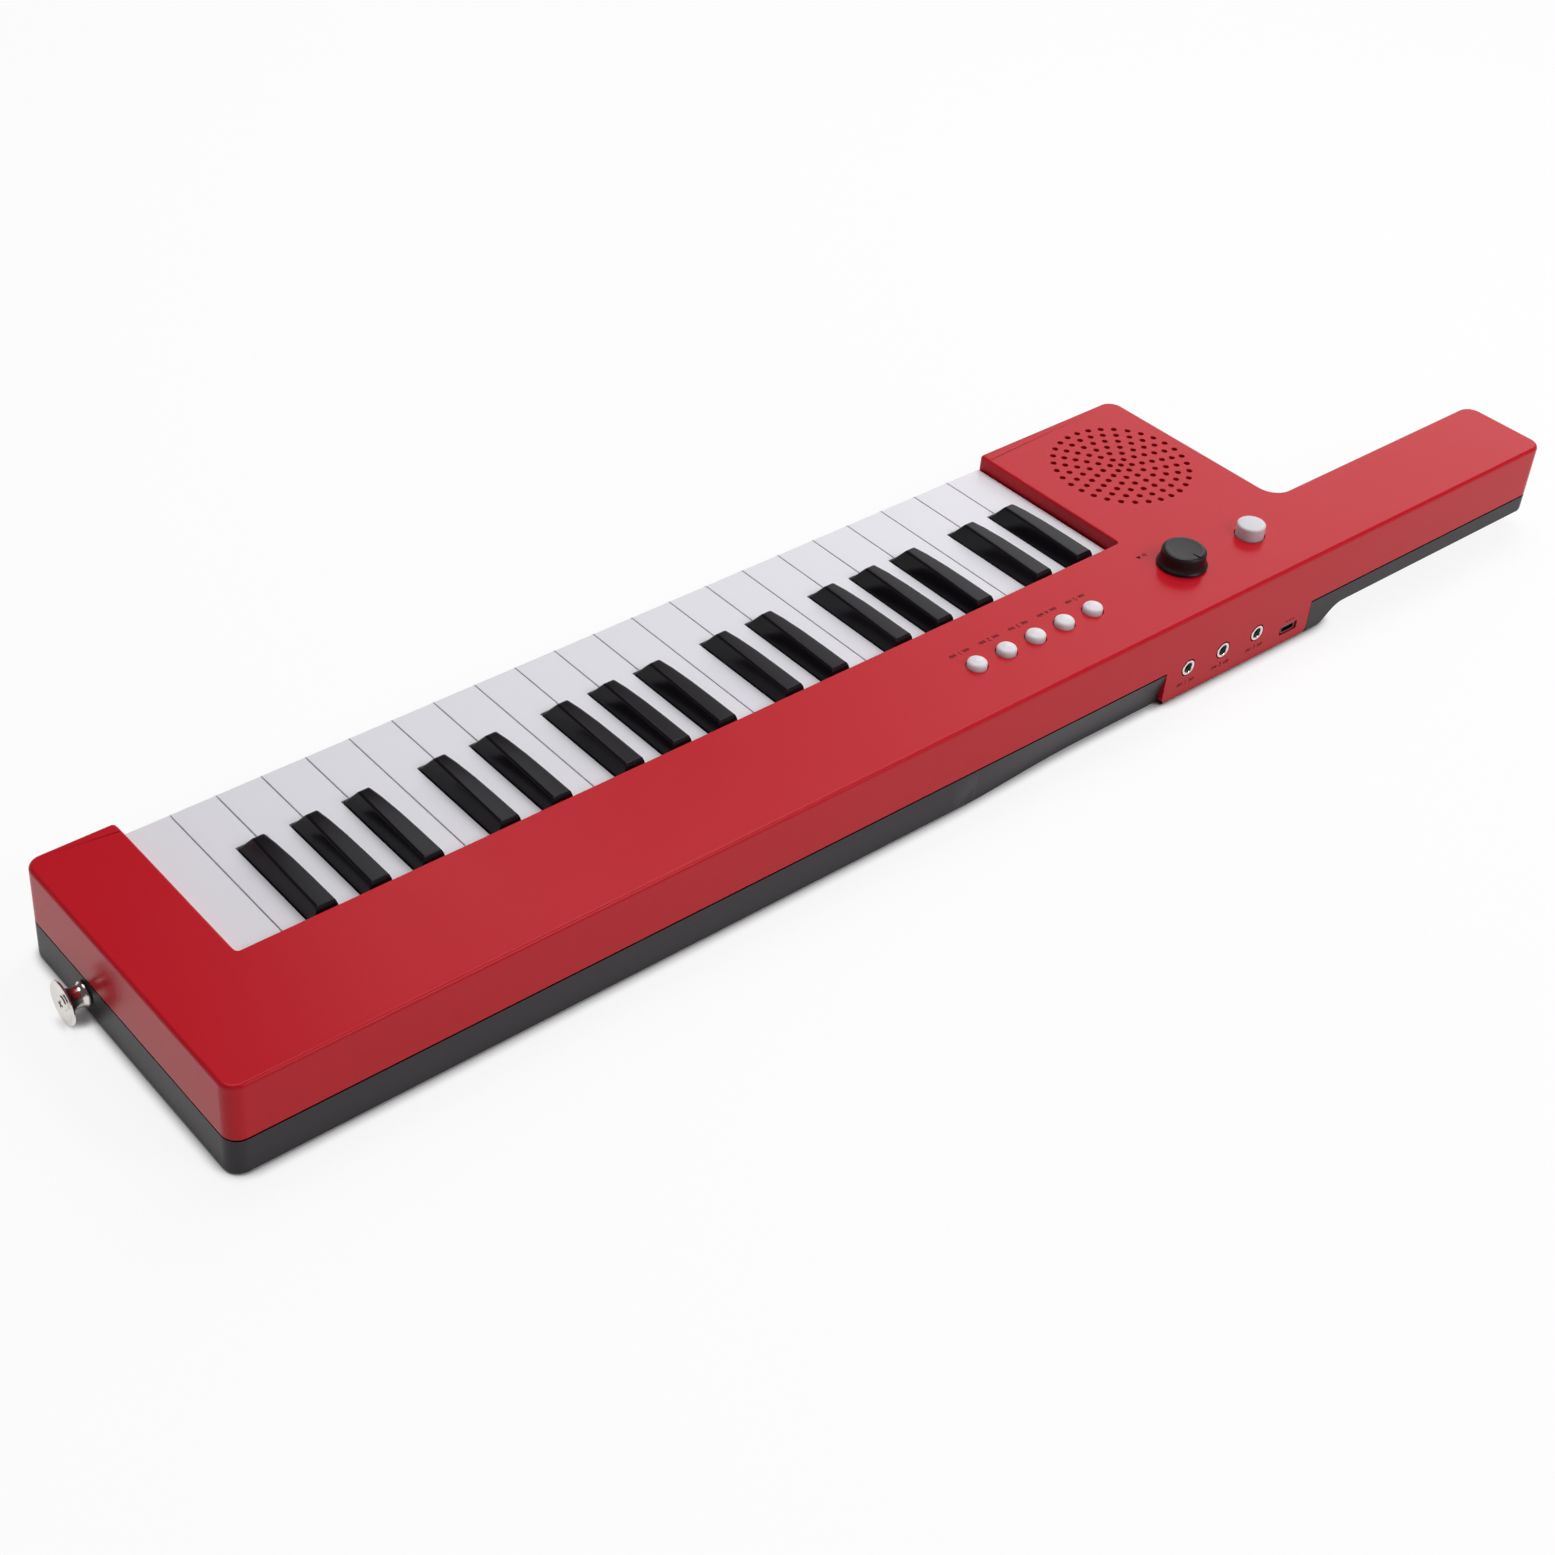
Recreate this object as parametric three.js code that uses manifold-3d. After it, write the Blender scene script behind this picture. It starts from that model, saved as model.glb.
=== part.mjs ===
// Keytar with 37 mini keys: a flat two-part case, a short neck, a speaker and its controls.
// Millimetres. X runs from the neck to the treble end, Y from the key fronts to the jack side, Z up.
// The case is drawn with the treble end at x = 0 and the jack side at y = 0.
import * as THREE from 'three';
import { mergeVertices } from 'three/addons/utils/BufferGeometryUtils.js';
import Module from 'manifold-3d';

const wasm = await Module();
wasm.setup();

// Case, outside
const bodyDepth = 147.5;
const bodyHeight = 44.1;
const partingHeight = 17.7;
const partingSeam = 0.3;
const trebleCheekWidth = 39.7;
const speakerBlockWidth = 88.4;
const panelDepth = 58.6;
const neckLength = 141.4;
const neckDepth = 44.2;
const neckUnderside = 8.9;
const neckRiseLength = 20;
const neckRiseInset = 4.5;
const neckTipLand = 0.65;
const caseCornerRadius = 7;
const neckFilletRadius = 9;
const cheekCornerRadius = 2;
const wellCornerRadius = 1.6;
const topEdgeRadius = 1.6;
const bottomEdgeRadius = 1.6;
const scoopDepth = 3.7;
const scoopLength = 154;
const scoopRun = 110;
const scoopSteps = 6;
const scoopLand = 0.6;

// Case, walls
const caseWall = 2.5;
const caseRib = 1.6;
const frontRailRise = 1.1;
const panelLipDepth = 4.5;

// Keyboard
const whiteKeyCount = 22;
const keyPitch = 20.8;
const keyGap = 0.8;
const trebleKeyClearance = 2.2;
const bassKeyClearance = 0.6;
const keyTopDrop = 7;
const keyFrontSetback = 0.5;
const whiteKeyDip = 4.5;
const keyFrontClearance = 0.8;
const keySkirtHeight = 9;
const keyEdgeRadius = 1.5;
const keyWall = 1.5;
const keyCornerRelief = 0.6;
const keyTopThickness = 2;
const blackKeyWidth = 12.6;
const blackKeyTopWidth = 6.6;
const blackKeyRise = 7.3;
const blackKeyCut = 13.8;
const blackKeyEdge = 0.8;
const blackKeyFrontSlope = 4.5;
const blackKeyRearGap = 2.3;
const blackFrontShare = 0.3813;
const keyCutShare = 0.369;

// Key hinge and frame
const hingeSetback = 41;
const hingeDrop = 6.1;
const hingeRailRadius = 2;
const hookWall = 2;
const hookWidth = 6;
const runningGap = 0.3;
const keyBarThickness = 3;
const frameDrop = 18.1;
const frameThickness = 2.4;
const frameSideGap = 0.5;
const boardEndGap = 0.8;
const frameFrontSetback = 6;
const frameRearSetback = 35.6;
const frameRibHeight = 1.8;
const framePostCount = 4;
const railPostWidth = 2.4;
const railPostDepth = 3;
const guideDepth = 5;
const guideSetback = 9;
const guidePlay = 0.5;
const blackGuideShare = 0.4556;
const contactShare = 0.2632;
const contactBoardDepth = 24;
const boardThickness = 1.6;
const domeRadius = 3.2;
const domeTipRadius = 1.8;
const domeHeight = 3.4;
const rubberThickness = 1.2;
const rubberDepth = 10;

// Speaker and grille
const grilleRings = 6;
const grilleRingGrowth = 5;
const grilleStepShare = 0.0595;
const grilleHoleRadius = 1.3;
const grilleInsetShare = 0.4502;
const grilleFrontInset = 44.1;
const speakerShare = 0.396;
const speakerRimWidth = 4.5;
const speakerRimThickness = 2;
const speakerDepth = 21;
const speakerConeRadius = 27;
const speakerCapRadius = 8;
const speakerConeDepth = 7;
const speakerBasketRadius = 22;
const magnetRadius = 17;
const magnetHeight = 8;

// Controls on the panel
const smallButtonSetback = 28.8;
const largeButtonSetback = 29.6;
const knobSetback = 31;
const smallButtonCount = 5;
const smallButtonPitch = 17.3;
const smallButtonRadius = 4.6;
const smallButtonRise = 3.6;
const smallButtonInset = 48.1;
const largeButtonRadius = 6.8;
const largeButtonRise = 6.4;
const largeButtonShare = 0.6109;
const buttonTravel = 1.2;
const buttonGap = 0.5;
const buttonEdgeRadius = 1.4;
const buttonFlangeWidth = 1.4;
const buttonFlangeThickness = 1.2;
const buttonStemRadius = 2;
const knobOffset = 10.7;
const knobBaseRadius = 11.4;
const knobSkirtHeight = 2.2;
const knobBodyRadius = 10.4;
const knobTopRadius = 9.6;
const knobHeight = 8.3;
const knobEdgeRadius = 0.9;
const knobLift = 0.5;
const knobNotchWidth = 1.6;
const knobNotchLength = 5;
const knobNotchDepth = 0.6;
const potShaftRadius = 3;
const potShaftGap = 0.3;
const potBodyRadius = 8;
const potBodyHeight = 6;
const potBushRadius = 4.5;
const potBushHeight = 7;
const shaftCover = 2.4;

// Circuit board under the panel
const boardDrop = 14;
const boardTrebleInset = 14;
const boardNeckInset = 10;
const boardFrontSetback = 34.4;
const boardDepth = 25;
const switchSize = 6;
const switchHeight = 3.5;
const boardPostRadius = 2.5;

// Jacks and USB socket
const jackCount = 3;
const jackPitch = 22.5;
const jackHeight = 15.3;
const jackRingRadius = 4;
const jackRingProud = 0.4;
const jackBoreRadius = 1.8;
const jackChamfer = 0.7;
const jackBodySize = 10;
const jackBodyDepth = 12;
const firstJackInset = 100.1;
const usbInset = 32.2;
const usbHeight = 8.5;
const usbWidth = 9;
const usbThickness = 3.4;
const usbWall = 0.5;
const usbDepth = 7;
const usbSlotWidth = 11.6;
const usbSlotHeight = 4.6;
const usbRecess = 0.8;
const jackPanelTreble = 114.1;
const jackPanelNeck = 18.6;
const jackPanelFoot = 1.2;
const jackPanelRadius = 2.5;

// Strap pins
const strapPinSetback = 43.3;
const strapPinHeight = 9.8;
const neckSidePinDrop = 4.7;
const strapPinReach = 10.6;
const strapPinHeadRadius = 9.3;
const strapPinHeadThickness = 1.6;
const strapPinNeckRadius = 3.6;
const strapPinFlangeRadius = 5.3;
const strapPinFlangeThickness = 1.5;
const strapPinDish = 0.8;
const strapPinScrewRadius = 3.2;
const strapPinShankRadius = 2;
const strapPinShankLength = 7;

// Pitch wheel in the neck
const wheelRadius = 13;
const wheelWidth = 7;
const wheelProtrusion = 4;
const wheelNeckInset = 62;
const wheelRim = 2.5;
const wheelAxleRadius = 2;
const wheelAxleReach = 4;
const wheelSlotGap = 1;
const wheelGrooveCount = 12;
const wheelGrooveRadius = 0.9;
const bracketThickness = 3;

// Battery bay and door
const bayLength = 104;
const bayDepth = 45;
const frameBayGap = 0.2;
const bayTrebleInset = 214;
const bayWall = 1.8;
const doorThickness = 2;
const doorRecess = 0.3;
const doorGap = 0.4;
const doorTabWidth = 12;
const doorTabReach = 3;
const doorTabThickness = 1.2;
const doorTabShare = 0.3;
const latchWidth = 16;
const latchHeight = 5;
const latchThickness = 1.4;
const latchSetback = 1.2;
const latchRecessDepth = 1;

// Screw posts
const postRadius = 4.5;
const postGap = 0.3;
const postWallGap = 0.8;
const screwHeadRadius = 3.2;
const screwHeadDepth = 6;

// Facets on a full turn, and how far a cut passes the face that it opens
const fineFacets = 32;
const middleFacets = 20;
const coarseFacets = 12;
const holeFacets = 8;
const smallFacets = 6;
const overrun = 1;

// Places that follow from the sizes
const keyboardWidth = whiteKeyCount * keyPitch;
const keybedTreble = -trebleCheekWidth;
const keyboardTreble = keybedTreble - trebleKeyClearance;
const keyboardBass = keyboardTreble - keyboardWidth;
const keybedBass = keyboardBass - bassKeyClearance;
const blockEnd = keybedBass - speakerBlockWidth;
const neckEnd = blockEnd - neckLength;
const caseFront = -bodyDepth;
const panelEdge = -panelDepth;
const keyFront = caseFront + keyFrontSetback;
const panelUnderside = bodyHeight - caseWall;
const neckTipRadius = partingHeight - partingSeam / 2 - neckUnderside - neckTipLand;
const neckSidePinHeight = partingHeight - neckSidePinDrop;
const keyReach = bodyDepth - panelDepth;
const whiteKeyTop = bodyHeight - keyTopDrop;
const frontRailHeight = partingHeight + frontRailRise;
const keyLipFoot = frontRailHeight + whiteKeyDip + keyFrontClearance;
const keySkirtFoot = whiteKeyTop - keySkirtHeight;
const keyCutFront = keyCutShare * keyReach;
const blackKeyFront = blackFrontShare * keyReach;
const contactSetback = panelDepth + contactShare * keyReach;
const hingeY = -hingeSetback;
const hingeHeight = whiteKeyTop - hingeDrop;
const frameHeight = whiteKeyTop - frameDrop;
const bayHeight = frameHeight - frameBayGap - bayWall - caseWall;
const speakerRadius = speakerShare * speakerBlockWidth;
const hookRadius = hingeRailRadius + runningGap + hookWall;
const barFoot = whiteKeyTop - keyBarThickness;
const boardTop = bodyHeight - boardDrop;

// Materials, from the photograph
const finish = (color, roughness, metalness = 0) =>
  new THREE.MeshStandardMaterial({ color, roughness, metalness });
const redPlastic = finish(0xb3232e, 0.45);
const greyPlastic = finish(0x4a494b, 0.5);
const whitePlastic = finish(0xdcd9e0, 0.35);
const blackPlastic = finish(0x17151a, 0.25);
const knobPlastic = finish(0x1c1a1c, 0.45);
const buttonPlastic = finish(0xe6e2e4, 0.4);
const framePlastic = finish(0x2b2b2e, 0.6);
const rubber = finish(0x6b6b6e, 0.8);
const boardGreen = finish(0x1f5a38, 0.55);
const nickel = finish(0xc9c7c4, 0.25, 1);
const steel = finish(0x9a9a9c, 0.35, 1);

// Solids
function solid(geometry) {
  const plain = geometry.index ? geometry.toNonIndexed() : geometry.clone();
  plain.deleteAttribute('normal');
  plain.deleteAttribute('uv');
  const welded = mergeVertices(plain);
  return new wasm.Manifold(new wasm.Mesh({
    numProp: 3,
    vertProperties: new Float32Array(welded.attributes.position.array),
    triVerts: new Uint32Array(welded.index.array),
  }));
}

function geometryOf(body) {
  const mesh = body.getMesh();
  const geometry = new THREE.BufferGeometry();
  geometry.setAttribute('position', new THREE.BufferAttribute(mesh.vertProperties, mesh.numProp));
  geometry.setIndex(new THREE.BufferAttribute(mesh.triVerts, 1));
  geometry.computeVertexNormals();
  return geometry;
}

function join(bodies) {
  return bodies.reduce((whole, body) => whole.add(body));
}

function box([x0, x1], [y0, y1], [z0, z1]) {
  const geometry = new THREE.BoxGeometry(x1 - x0, y1 - y0, z1 - z0);
  geometry.translate((x0 + x1) / 2, (y0 + y1) / 2, (z0 + z1) / 2);
  return solid(geometry);
}

function prism(shape, [z0, z1], facets = coarseFacets) {
  const geometry = new THREE.ExtrudeGeometry(shape, {
    depth: z1 - z0, bevelEnabled: false, curveSegments: facets / 4,
  });
  geometry.translate(0, 0, z0);
  return solid(geometry);
}

// A plan outline raised along Z with its upper and lower rims rounded
function roundedPrism(shape, [z0, z1], radius) {
  const geometry = new THREE.ExtrudeGeometry(shape, {
    depth: z1 - z0 - 2 * radius, curveSegments: coarseFacets / 4,
    bevelThickness: radius, bevelSize: radius, bevelOffset: -radius, bevelSegments: 2,
  });
  geometry.translate(0, 0, z0 + radius);
  return solid(geometry);
}

// A side outline, drawn in Y and Z, run along X
function sideProfile(shape, [x0, x1], facets = coarseFacets) {
  const geometry = new THREE.ExtrudeGeometry(shape, {
    depth: x1 - x0, bevelEnabled: false, curveSegments: facets / 4,
  });
  geometry.rotateX(Math.PI / 2).rotateZ(Math.PI / 2).translate(x0, 0, 0);
  return solid(geometry);
}

// A front outline, drawn in X and Z, run along Y
function frontProfile(shape, [y0, y1], facets = coarseFacets) {
  const geometry = new THREE.ExtrudeGeometry(shape, {
    depth: y1 - y0, bevelEnabled: false, curveSegments: facets / 4,
  });
  geometry.rotateX(Math.PI / 2).translate(0, y1, 0);
  return solid(geometry);
}

// A revolved profile of [radius, height] points, standing on Z
function turned(profile, facets = fineFacets) {
  const points = profile.map(([radius, height]) => new THREE.Vector2(radius, height));
  const geometry = new THREE.LatheGeometry(points, facets);
  geometry.rotateX(Math.PI / 2);
  return solid(geometry);
}

function rod(radius, [z0, z1], facets = coarseFacets) {
  return turned([[0, z0], [radius, z0], [radius, z1], [0, z1]], facets);
}

// A closed skin over a row of alike rings of points, counter-clockwise as seen from the last ring
function loft(sections) {
  const size = sections[0].length;
  const index = [];
  for (let i = 0; i + 1 < sections.length; i += 1) {
    for (let j = 0; j < size; j += 1) {
      const [a, b] = [i * size + j, i * size + ((j + 1) % size)];
      index.push(a, b, a + size, b, b + size, a + size);
    }
  }
  const last = (sections.length - 1) * size;
  for (let j = 1; j + 1 < size; j += 1) {
    index.push(0, j + 1, j);
    index.push(last, last + j, last + j + 1);
  }
  const geometry = new THREE.BufferGeometry();
  geometry.setAttribute('position', new THREE.Float32BufferAttribute(sections.flat(2), 3));
  geometry.setIndex(index);
  return solid(geometry);
}

const alongX = (body) => body.rotate([0, 90, 0]);
const alongY = (body) => body.rotate([-90, 0, 0]);

// A closed outline of [x, y, corner radius] points, counter-clockwise
function outline(corners) {
  const shape = new THREE.Shape();
  corners.forEach(([x, y, radius = 0], i) => {
    const here = new THREE.Vector2(x, y);
    const [beforeX, beforeY] = corners.at(i - 1);
    const [afterX, afterY] = corners[(i + 1) % corners.length];
    const back = new THREE.Vector2(beforeX, beforeY).sub(here).normalize();
    const on = new THREE.Vector2(afterX, afterY).sub(here).normalize();
    const halfAngle = Math.acos(THREE.MathUtils.clamp(back.dot(on), -1, 1)) / 2;
    const run = radius / Math.tan(halfAngle);
    const start = here.clone().addScaledVector(back, run);
    const end = here.clone().addScaledVector(on, run);
    if (i === 0) shape.moveTo(start.x, start.y);
    else shape.lineTo(start.x, start.y);
    if (radius > 0) {
      const centre = back.clone().add(on).setLength(radius / Math.sin(halfAngle)).add(here);
      const from = start.clone().sub(centre).angle();
      const to = end.clone().sub(centre).angle();
      shape.absarc(centre.x, centre.y, radius, from, to, back.cross(on) > 0);
    }
  });
  shape.closePath();
  return shape;
}

// The same outline moved inwards, with its outer corners tighter and its inner corners wider
function inset(corners, distance) {
  return corners.map(([x, y, radius = 0], i) => {
    const [beforeX, beforeY] = corners.at(i - 1);
    const [afterX, afterY] = corners[(i + 1) % corners.length];
    const along = new THREE.Vector2(x - beforeX, y - beforeY).normalize();
    const next = new THREE.Vector2(afterX - x, afterY - y).normalize();
    const outerCorner = along.cross(next) > 0;
    const newRadius = outerCorner ? Math.max(radius - distance, 0) : radius + distance;
    return [x - distance * (along.y + next.y), y + distance * (along.x + next.x), newRadius];
  });
}

const rectangle = ([x0, x1], [y0, y1], radius = 0) =>
  outline([[x0, y0, radius], [x1, y0, radius], [x1, y1, radius], [x0, y1, radius]]);

// Plan outlines of the case
const caseCorners = [
  [0, caseFront, caseCornerRadius],
  [0, 0, caseCornerRadius],
  [neckEnd, 0, caseCornerRadius],
  [neckEnd, -neckDepth, caseCornerRadius],
  [blockEnd, -neckDepth, neckFilletRadius],
  [blockEnd, caseFront, caseCornerRadius],
];
const upperCorners = [
  ...caseCorners,
  [keybedBass, caseFront, cheekCornerRadius],
  [keybedBass, panelEdge, wellCornerRadius],
  [keybedTreble, panelEdge, wellCornerRadius],
  [keybedTreble, caseFront, cheekCornerRadius],
];

// Places of the controls, jacks and screw posts
const knobX = keybedBass - knobOffset;
const largeButtonX = keybedBass - largeButtonShare * speakerBlockWidth;
const smallButtonXs = Array.from({ length: smallButtonCount }, (_, i) =>
  keybedBass + smallButtonInset + i * smallButtonPitch);
const smallButtonY = -smallButtonSetback;
const largeButtonY = -largeButtonSetback;
const knobY = -knobSetback;
const grilleX = blockEnd + grilleInsetShare * speakerBlockWidth;
const grilleY = caseFront + grilleFrontInset;
const jackXs = Array.from({ length: jackCount }, (_, i) => blockEnd + firstJackInset - i * jackPitch);
const usbX = blockEnd + usbInset;
const panelTrebleX = blockEnd + jackPanelTreble;
const panelNeckX = blockEnd + jackPanelNeck;
const wheelX = blockEnd - wheelNeckInset;
const wheelY = -neckDepth / 2;
const wheelZ = neckUnderside - wheelProtrusion + wheelRadius;
const bayX = [-bayTrebleInset - bayLength, -bayTrebleInset];
const bayY = [-caseWall - caseRib - bayWall - bayDepth, -caseWall - caseRib - bayWall];
const postInset = caseWall + postRadius + postWallGap;
const posts = [
  [-caseCornerRadius - postInset, caseFront + caseCornerRadius + postInset, 0],
  [-caseCornerRadius - postInset, -postInset, 0],
  [blockEnd + caseCornerRadius + postInset, caseFront + postInset, 0],
  [keybedBass - postInset - caseWall, caseFront + postInset, 0],
  [blockEnd - neckRiseLength, -postInset, neckUnderside],
  [neckEnd + caseCornerRadius + postInset, -neckDepth / 2, neckUnderside],
  [-bayTrebleInset + postInset + caseRib, -postInset, 0],
  [-bayTrebleInset - bayLength - postInset - caseRib, -postInset, 0],
];

// Upper case: red shell with its key well, grille, control holes and jack panel
function makeUpperCase() {
  const foot = partingHeight + partingSeam / 2;
  const outerSpan = [foot - topEdgeRadius - overrun, bodyHeight];
  const outer = roundedPrism(outline(caseCorners), outerSpan, topEdgeRadius);
  const inner = prism(outline(inset(upperCorners, caseWall)), [foot - overrun, panelUnderside], holeFacets);
  let shell = outer.intersect(prism(outline(upperCorners), [foot, bodyHeight + overrun])).subtract(inner);

  const keyWindow = box([keybedBass, keybedTreble], [panelEdge - overrun, panelEdge + caseWall + overrun],
    [foot - overrun, bodyHeight - panelLipDepth]);
  const cornerRelief = box([keybedBass, keybedTreble], [panelEdge - wellCornerRadius - overrun, panelEdge],
    [foot - overrun, whiteKeyTop + keyCornerRelief]);
  shell = shell.subtract(keyWindow.add(cornerRelief));

  const jackPanel = frontProfile(rectangle([panelNeckX, panelTrebleX],
    [jackPanelFoot, partingHeight + caseWall], jackPanelRadius), [-caseWall, 0]);
  shell = shell.add(jackPanel);

  const postTop = partingHeight + postGap;
  const postRoot = panelUnderside + caseWall / 2;
  const raised = posts.map(([x, y]) =>
    rod(postRadius, [postTop, postRoot], holeFacets).translate([x, y, 0]));
  const boardPosts = boardPostPlaces.map(([x, y]) =>
    rod(boardPostRadius, [boardTop + runningGap, postRoot], smallFacets).translate([x, y, 0]));
  shell = join([shell, ...raised, ...boardPosts]);

  const throughTop = [panelUnderside - overrun, bodyHeight + overrun];
  const throughSide = [-caseWall - overrun, overrun];
  const smallHole = rod(smallButtonRadius + buttonGap, throughTop);
  const largeHole = rod(largeButtonRadius + buttonGap, throughTop, fineFacets);
  const jackHole = alongY(rod(jackRingRadius + runningGap, throughSide));
  const usbHole = frontProfile(rectangle([-usbSlotWidth / 2, usbSlotWidth / 2],
    [-usbSlotHeight / 2, usbSlotHeight / 2], usbSlotHeight / 4), throughSide);
  const holes = [
    rod(potBushRadius + runningGap, throughTop).translate([knobX, knobY, 0]),
    largeHole.translate([largeButtonX, largeButtonY, 0]),
    ...smallButtonXs.map((x) => smallHole.translate([x, smallButtonY, 0])),
    ...jackXs.map((x) => jackHole.translate([x, 0, jackHeight])),
    usbHole.translate([usbX, 0, usbHeight]),
  ];
  holes.push(...grilleHoles(throughTop));
  return shell.subtract(join(holes));
}

// Grille: a centre hole and rings about it, each ring with the same number of holes more than the last
function grilleHoles(span) {
  const hole = rod(grilleHoleRadius, span, smallFacets);
  const places = [[0, 0]];
  for (let ring = 1; ring <= grilleRings; ring += 1) {
    const count = grilleRingGrowth * ring + 1;
    const radius = ring * grilleStepShare * speakerBlockWidth;
    for (let i = 0; i < count; i += 1) {
      const angle = Math.PI / 2 + (2 * Math.PI * i) / count;
      places.push([radius * Math.cos(angle), radius * Math.sin(angle)]);
    }
  }
  return places.map(([x, y]) => hole.translate([grilleX + x, grilleY + y, 0]));
}

// Lower case: grey tray with the neck's raised underside, front rail, battery bay and wheel bracket
function makeLowerCase() {
  const rim = partingHeight - partingSeam / 2;
  const block = roundedPrism(outline(caseCorners), [0, rim + bottomEdgeRadius + overrun], bottomEdgeRadius);
  const side = frontProfile(lowerSide(0), [caseFront - overrun, overrun]);
  const core = prism(outline(inset(caseCorners, caseWall)), [-overrun, rim + overrun], holeFacets)
    .intersect(frontProfile(lowerSide(caseWall), [caseFront, 0]))
    .subtract(makeScoop().translate([0, -caseWall, 0]));
  let tray = block.intersect(side).subtract(core);

  const railFoot = caseWall / 2;
  const rail = box([keybedBass + runningGap, keybedTreble - runningGap], [caseFront, caseFront + caseWall],
    [railFoot, frontRailHeight]);
  tray = tray.add(rail);

  const frameLugs = framePostPlaces.map(([x, y]) =>
    rod(postRadius, [railFoot, frameHeight - runningGap], holeFacets).translate([x, y, 0]));
  const caseLugs = posts.map(([x, y, z]) =>
    rod(postRadius, [z + railFoot, partingHeight], holeFacets).translate([x, y, 0]));
  tray = join([tray, bayShell(), wheelBrackets(), ...frameLugs, ...caseLugs]);

  const notchX = [panelNeckX - runningGap, panelTrebleX + runningGap];
  const panelNotch = box(notchX, [-caseWall - runningGap, overrun],
    [jackPanelFoot - runningGap, rim + overrun]);
  const socketOpening = box(notchX, [-scoopDepth - 2 * caseWall, -runningGap],
    [caseWall - runningGap, rim + overrun]);
  const wheelLift = wheelZ - neckUnderside - caseWall;
  const slotLength = Math.sqrt(wheelRadius ** 2 - wheelLift ** 2) + wheelSlotGap;
  const slotWidth = wheelWidth / 2 + wheelSlotGap;
  const wheelSlot = box([wheelX - slotLength, wheelX + slotLength], [wheelY - slotWidth, wheelY + slotWidth],
    [-overrun, neckUnderside + caseWall + overrun]);
  const screwWells = posts.map(([x, y, z]) =>
    rod(screwHeadRadius, [z - overrun, z + screwHeadDepth], holeFacets).translate([x, y, 0]));
  const bay = box(bayX, bayY, [-overrun, caseWall + bayHeight]);
  const pinHoles = strapPinPlaces.map(([x, z]) =>
    alongX(rod(strapPinShankRadius + runningGap, [-caseWall - overrun, caseWall + overrun]))
      .translate([x, strapPinY, z]));
  const cuts = [panelNotch, socketOpening, wheelSlot, bay, makeScoop(), ...screwWells, ...pinHoles];
  return tray.subtract(join(cuts));
}

// The lower case seen from the jack side: flat body, S-shaped rise to the neck and a rounded tip
function lowerSide(wall) {
  const riseTop = neckUnderside + wall;
  const top = partingHeight - partingSeam / 2 + (wall > 0 ? overrun : 0);
  const riseRadius = (neckRiseLength ** 2 / 4 + neckUnderside ** 2 / 4) / neckUnderside;
  const bend = Math.asin(neckRiseLength / 2 / riseRadius);
  const riseStart = blockEnd + neckRiseInset + neckRiseLength / 2;
  const tip = neckEnd + wall;
  const tipRadius = Math.max(neckTipRadius - wall, 0);
  const shape = new THREE.Shape();
  shape.moveTo(-wall, top);
  shape.lineTo(tip, top);
  shape.lineTo(tip, riseTop + tipRadius);
  shape.absarc(tip + tipRadius, riseTop + tipRadius, tipRadius, Math.PI, 1.5 * Math.PI, false);
  const riseEnd = riseStart - neckRiseLength;
  shape.lineTo(riseEnd, riseTop);
  shape.absarc(riseEnd, riseTop - riseRadius, riseRadius, Math.PI / 2, Math.PI / 2 - bend, true);
  shape.absarc(riseStart, wall + riseRadius, riseRadius, 1.5 * Math.PI - bend, 1.5 * Math.PI, false);
  shape.lineTo(-wall, wall);
  shape.closePath();
  return shape;
}

// Hand scoop beside the jack panel: the side leans inwards, more and more towards the panel
function makeScoop() {
  const top = partingHeight - scoopLand;
  const stations = [[panelTrebleX - overrun, 1]];
  const runStart = panelTrebleX + scoopLength - scoopRun;
  for (let i = 0; i <= scoopSteps; i += 1) {
    const share = i / scoopSteps;
    stations.push([runStart + scoopRun * share, (1 + Math.cos(Math.PI * share)) / 2]);
  }
  return loft(stations.map(([x, share]) => {
    const foot = scoopLand * (1 - share) - scoopDepth * share;
    const lean = foot / top;
    return [[x, foot + lean * overrun, -overrun], [x, overrun, -overrun], [x, overrun, top], [x, 0, top]];
  }));
}

// Battery bay: four walls and a roof over the opening in the tray's floor
function bayShell() {
  const [x0, x1] = bayX;
  const [y0, y1] = bayY;
  return box([x0 - bayWall, x1 + bayWall], [y0 - bayWall, y1 + bayWall],
    [caseWall / 2, caseWall + bayHeight + bayWall]);
}

// Two uprights with saddles that hold the pitch wheel's axle
function wheelBrackets() {
  const reach = wheelWidth / 2 + wheelSlotGap;
  const saddle = alongY(rod(wheelAxleRadius + runningGap, [-neckDepth, neckDepth]))
    .translate([wheelX, 0, wheelZ]);
  const uprights = [-1, 1].map((hand) => {
    const near = wheelY + hand * reach;
    const far = near + hand * bracketThickness;
    return box([wheelX - wheelRadius / 2, wheelX + wheelRadius / 2],
      [Math.min(near, far), Math.max(near, far)], [neckUnderside + caseWall / 2, wheelZ]);
  });
  return join(uprights).subtract(saddle);
}

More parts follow.
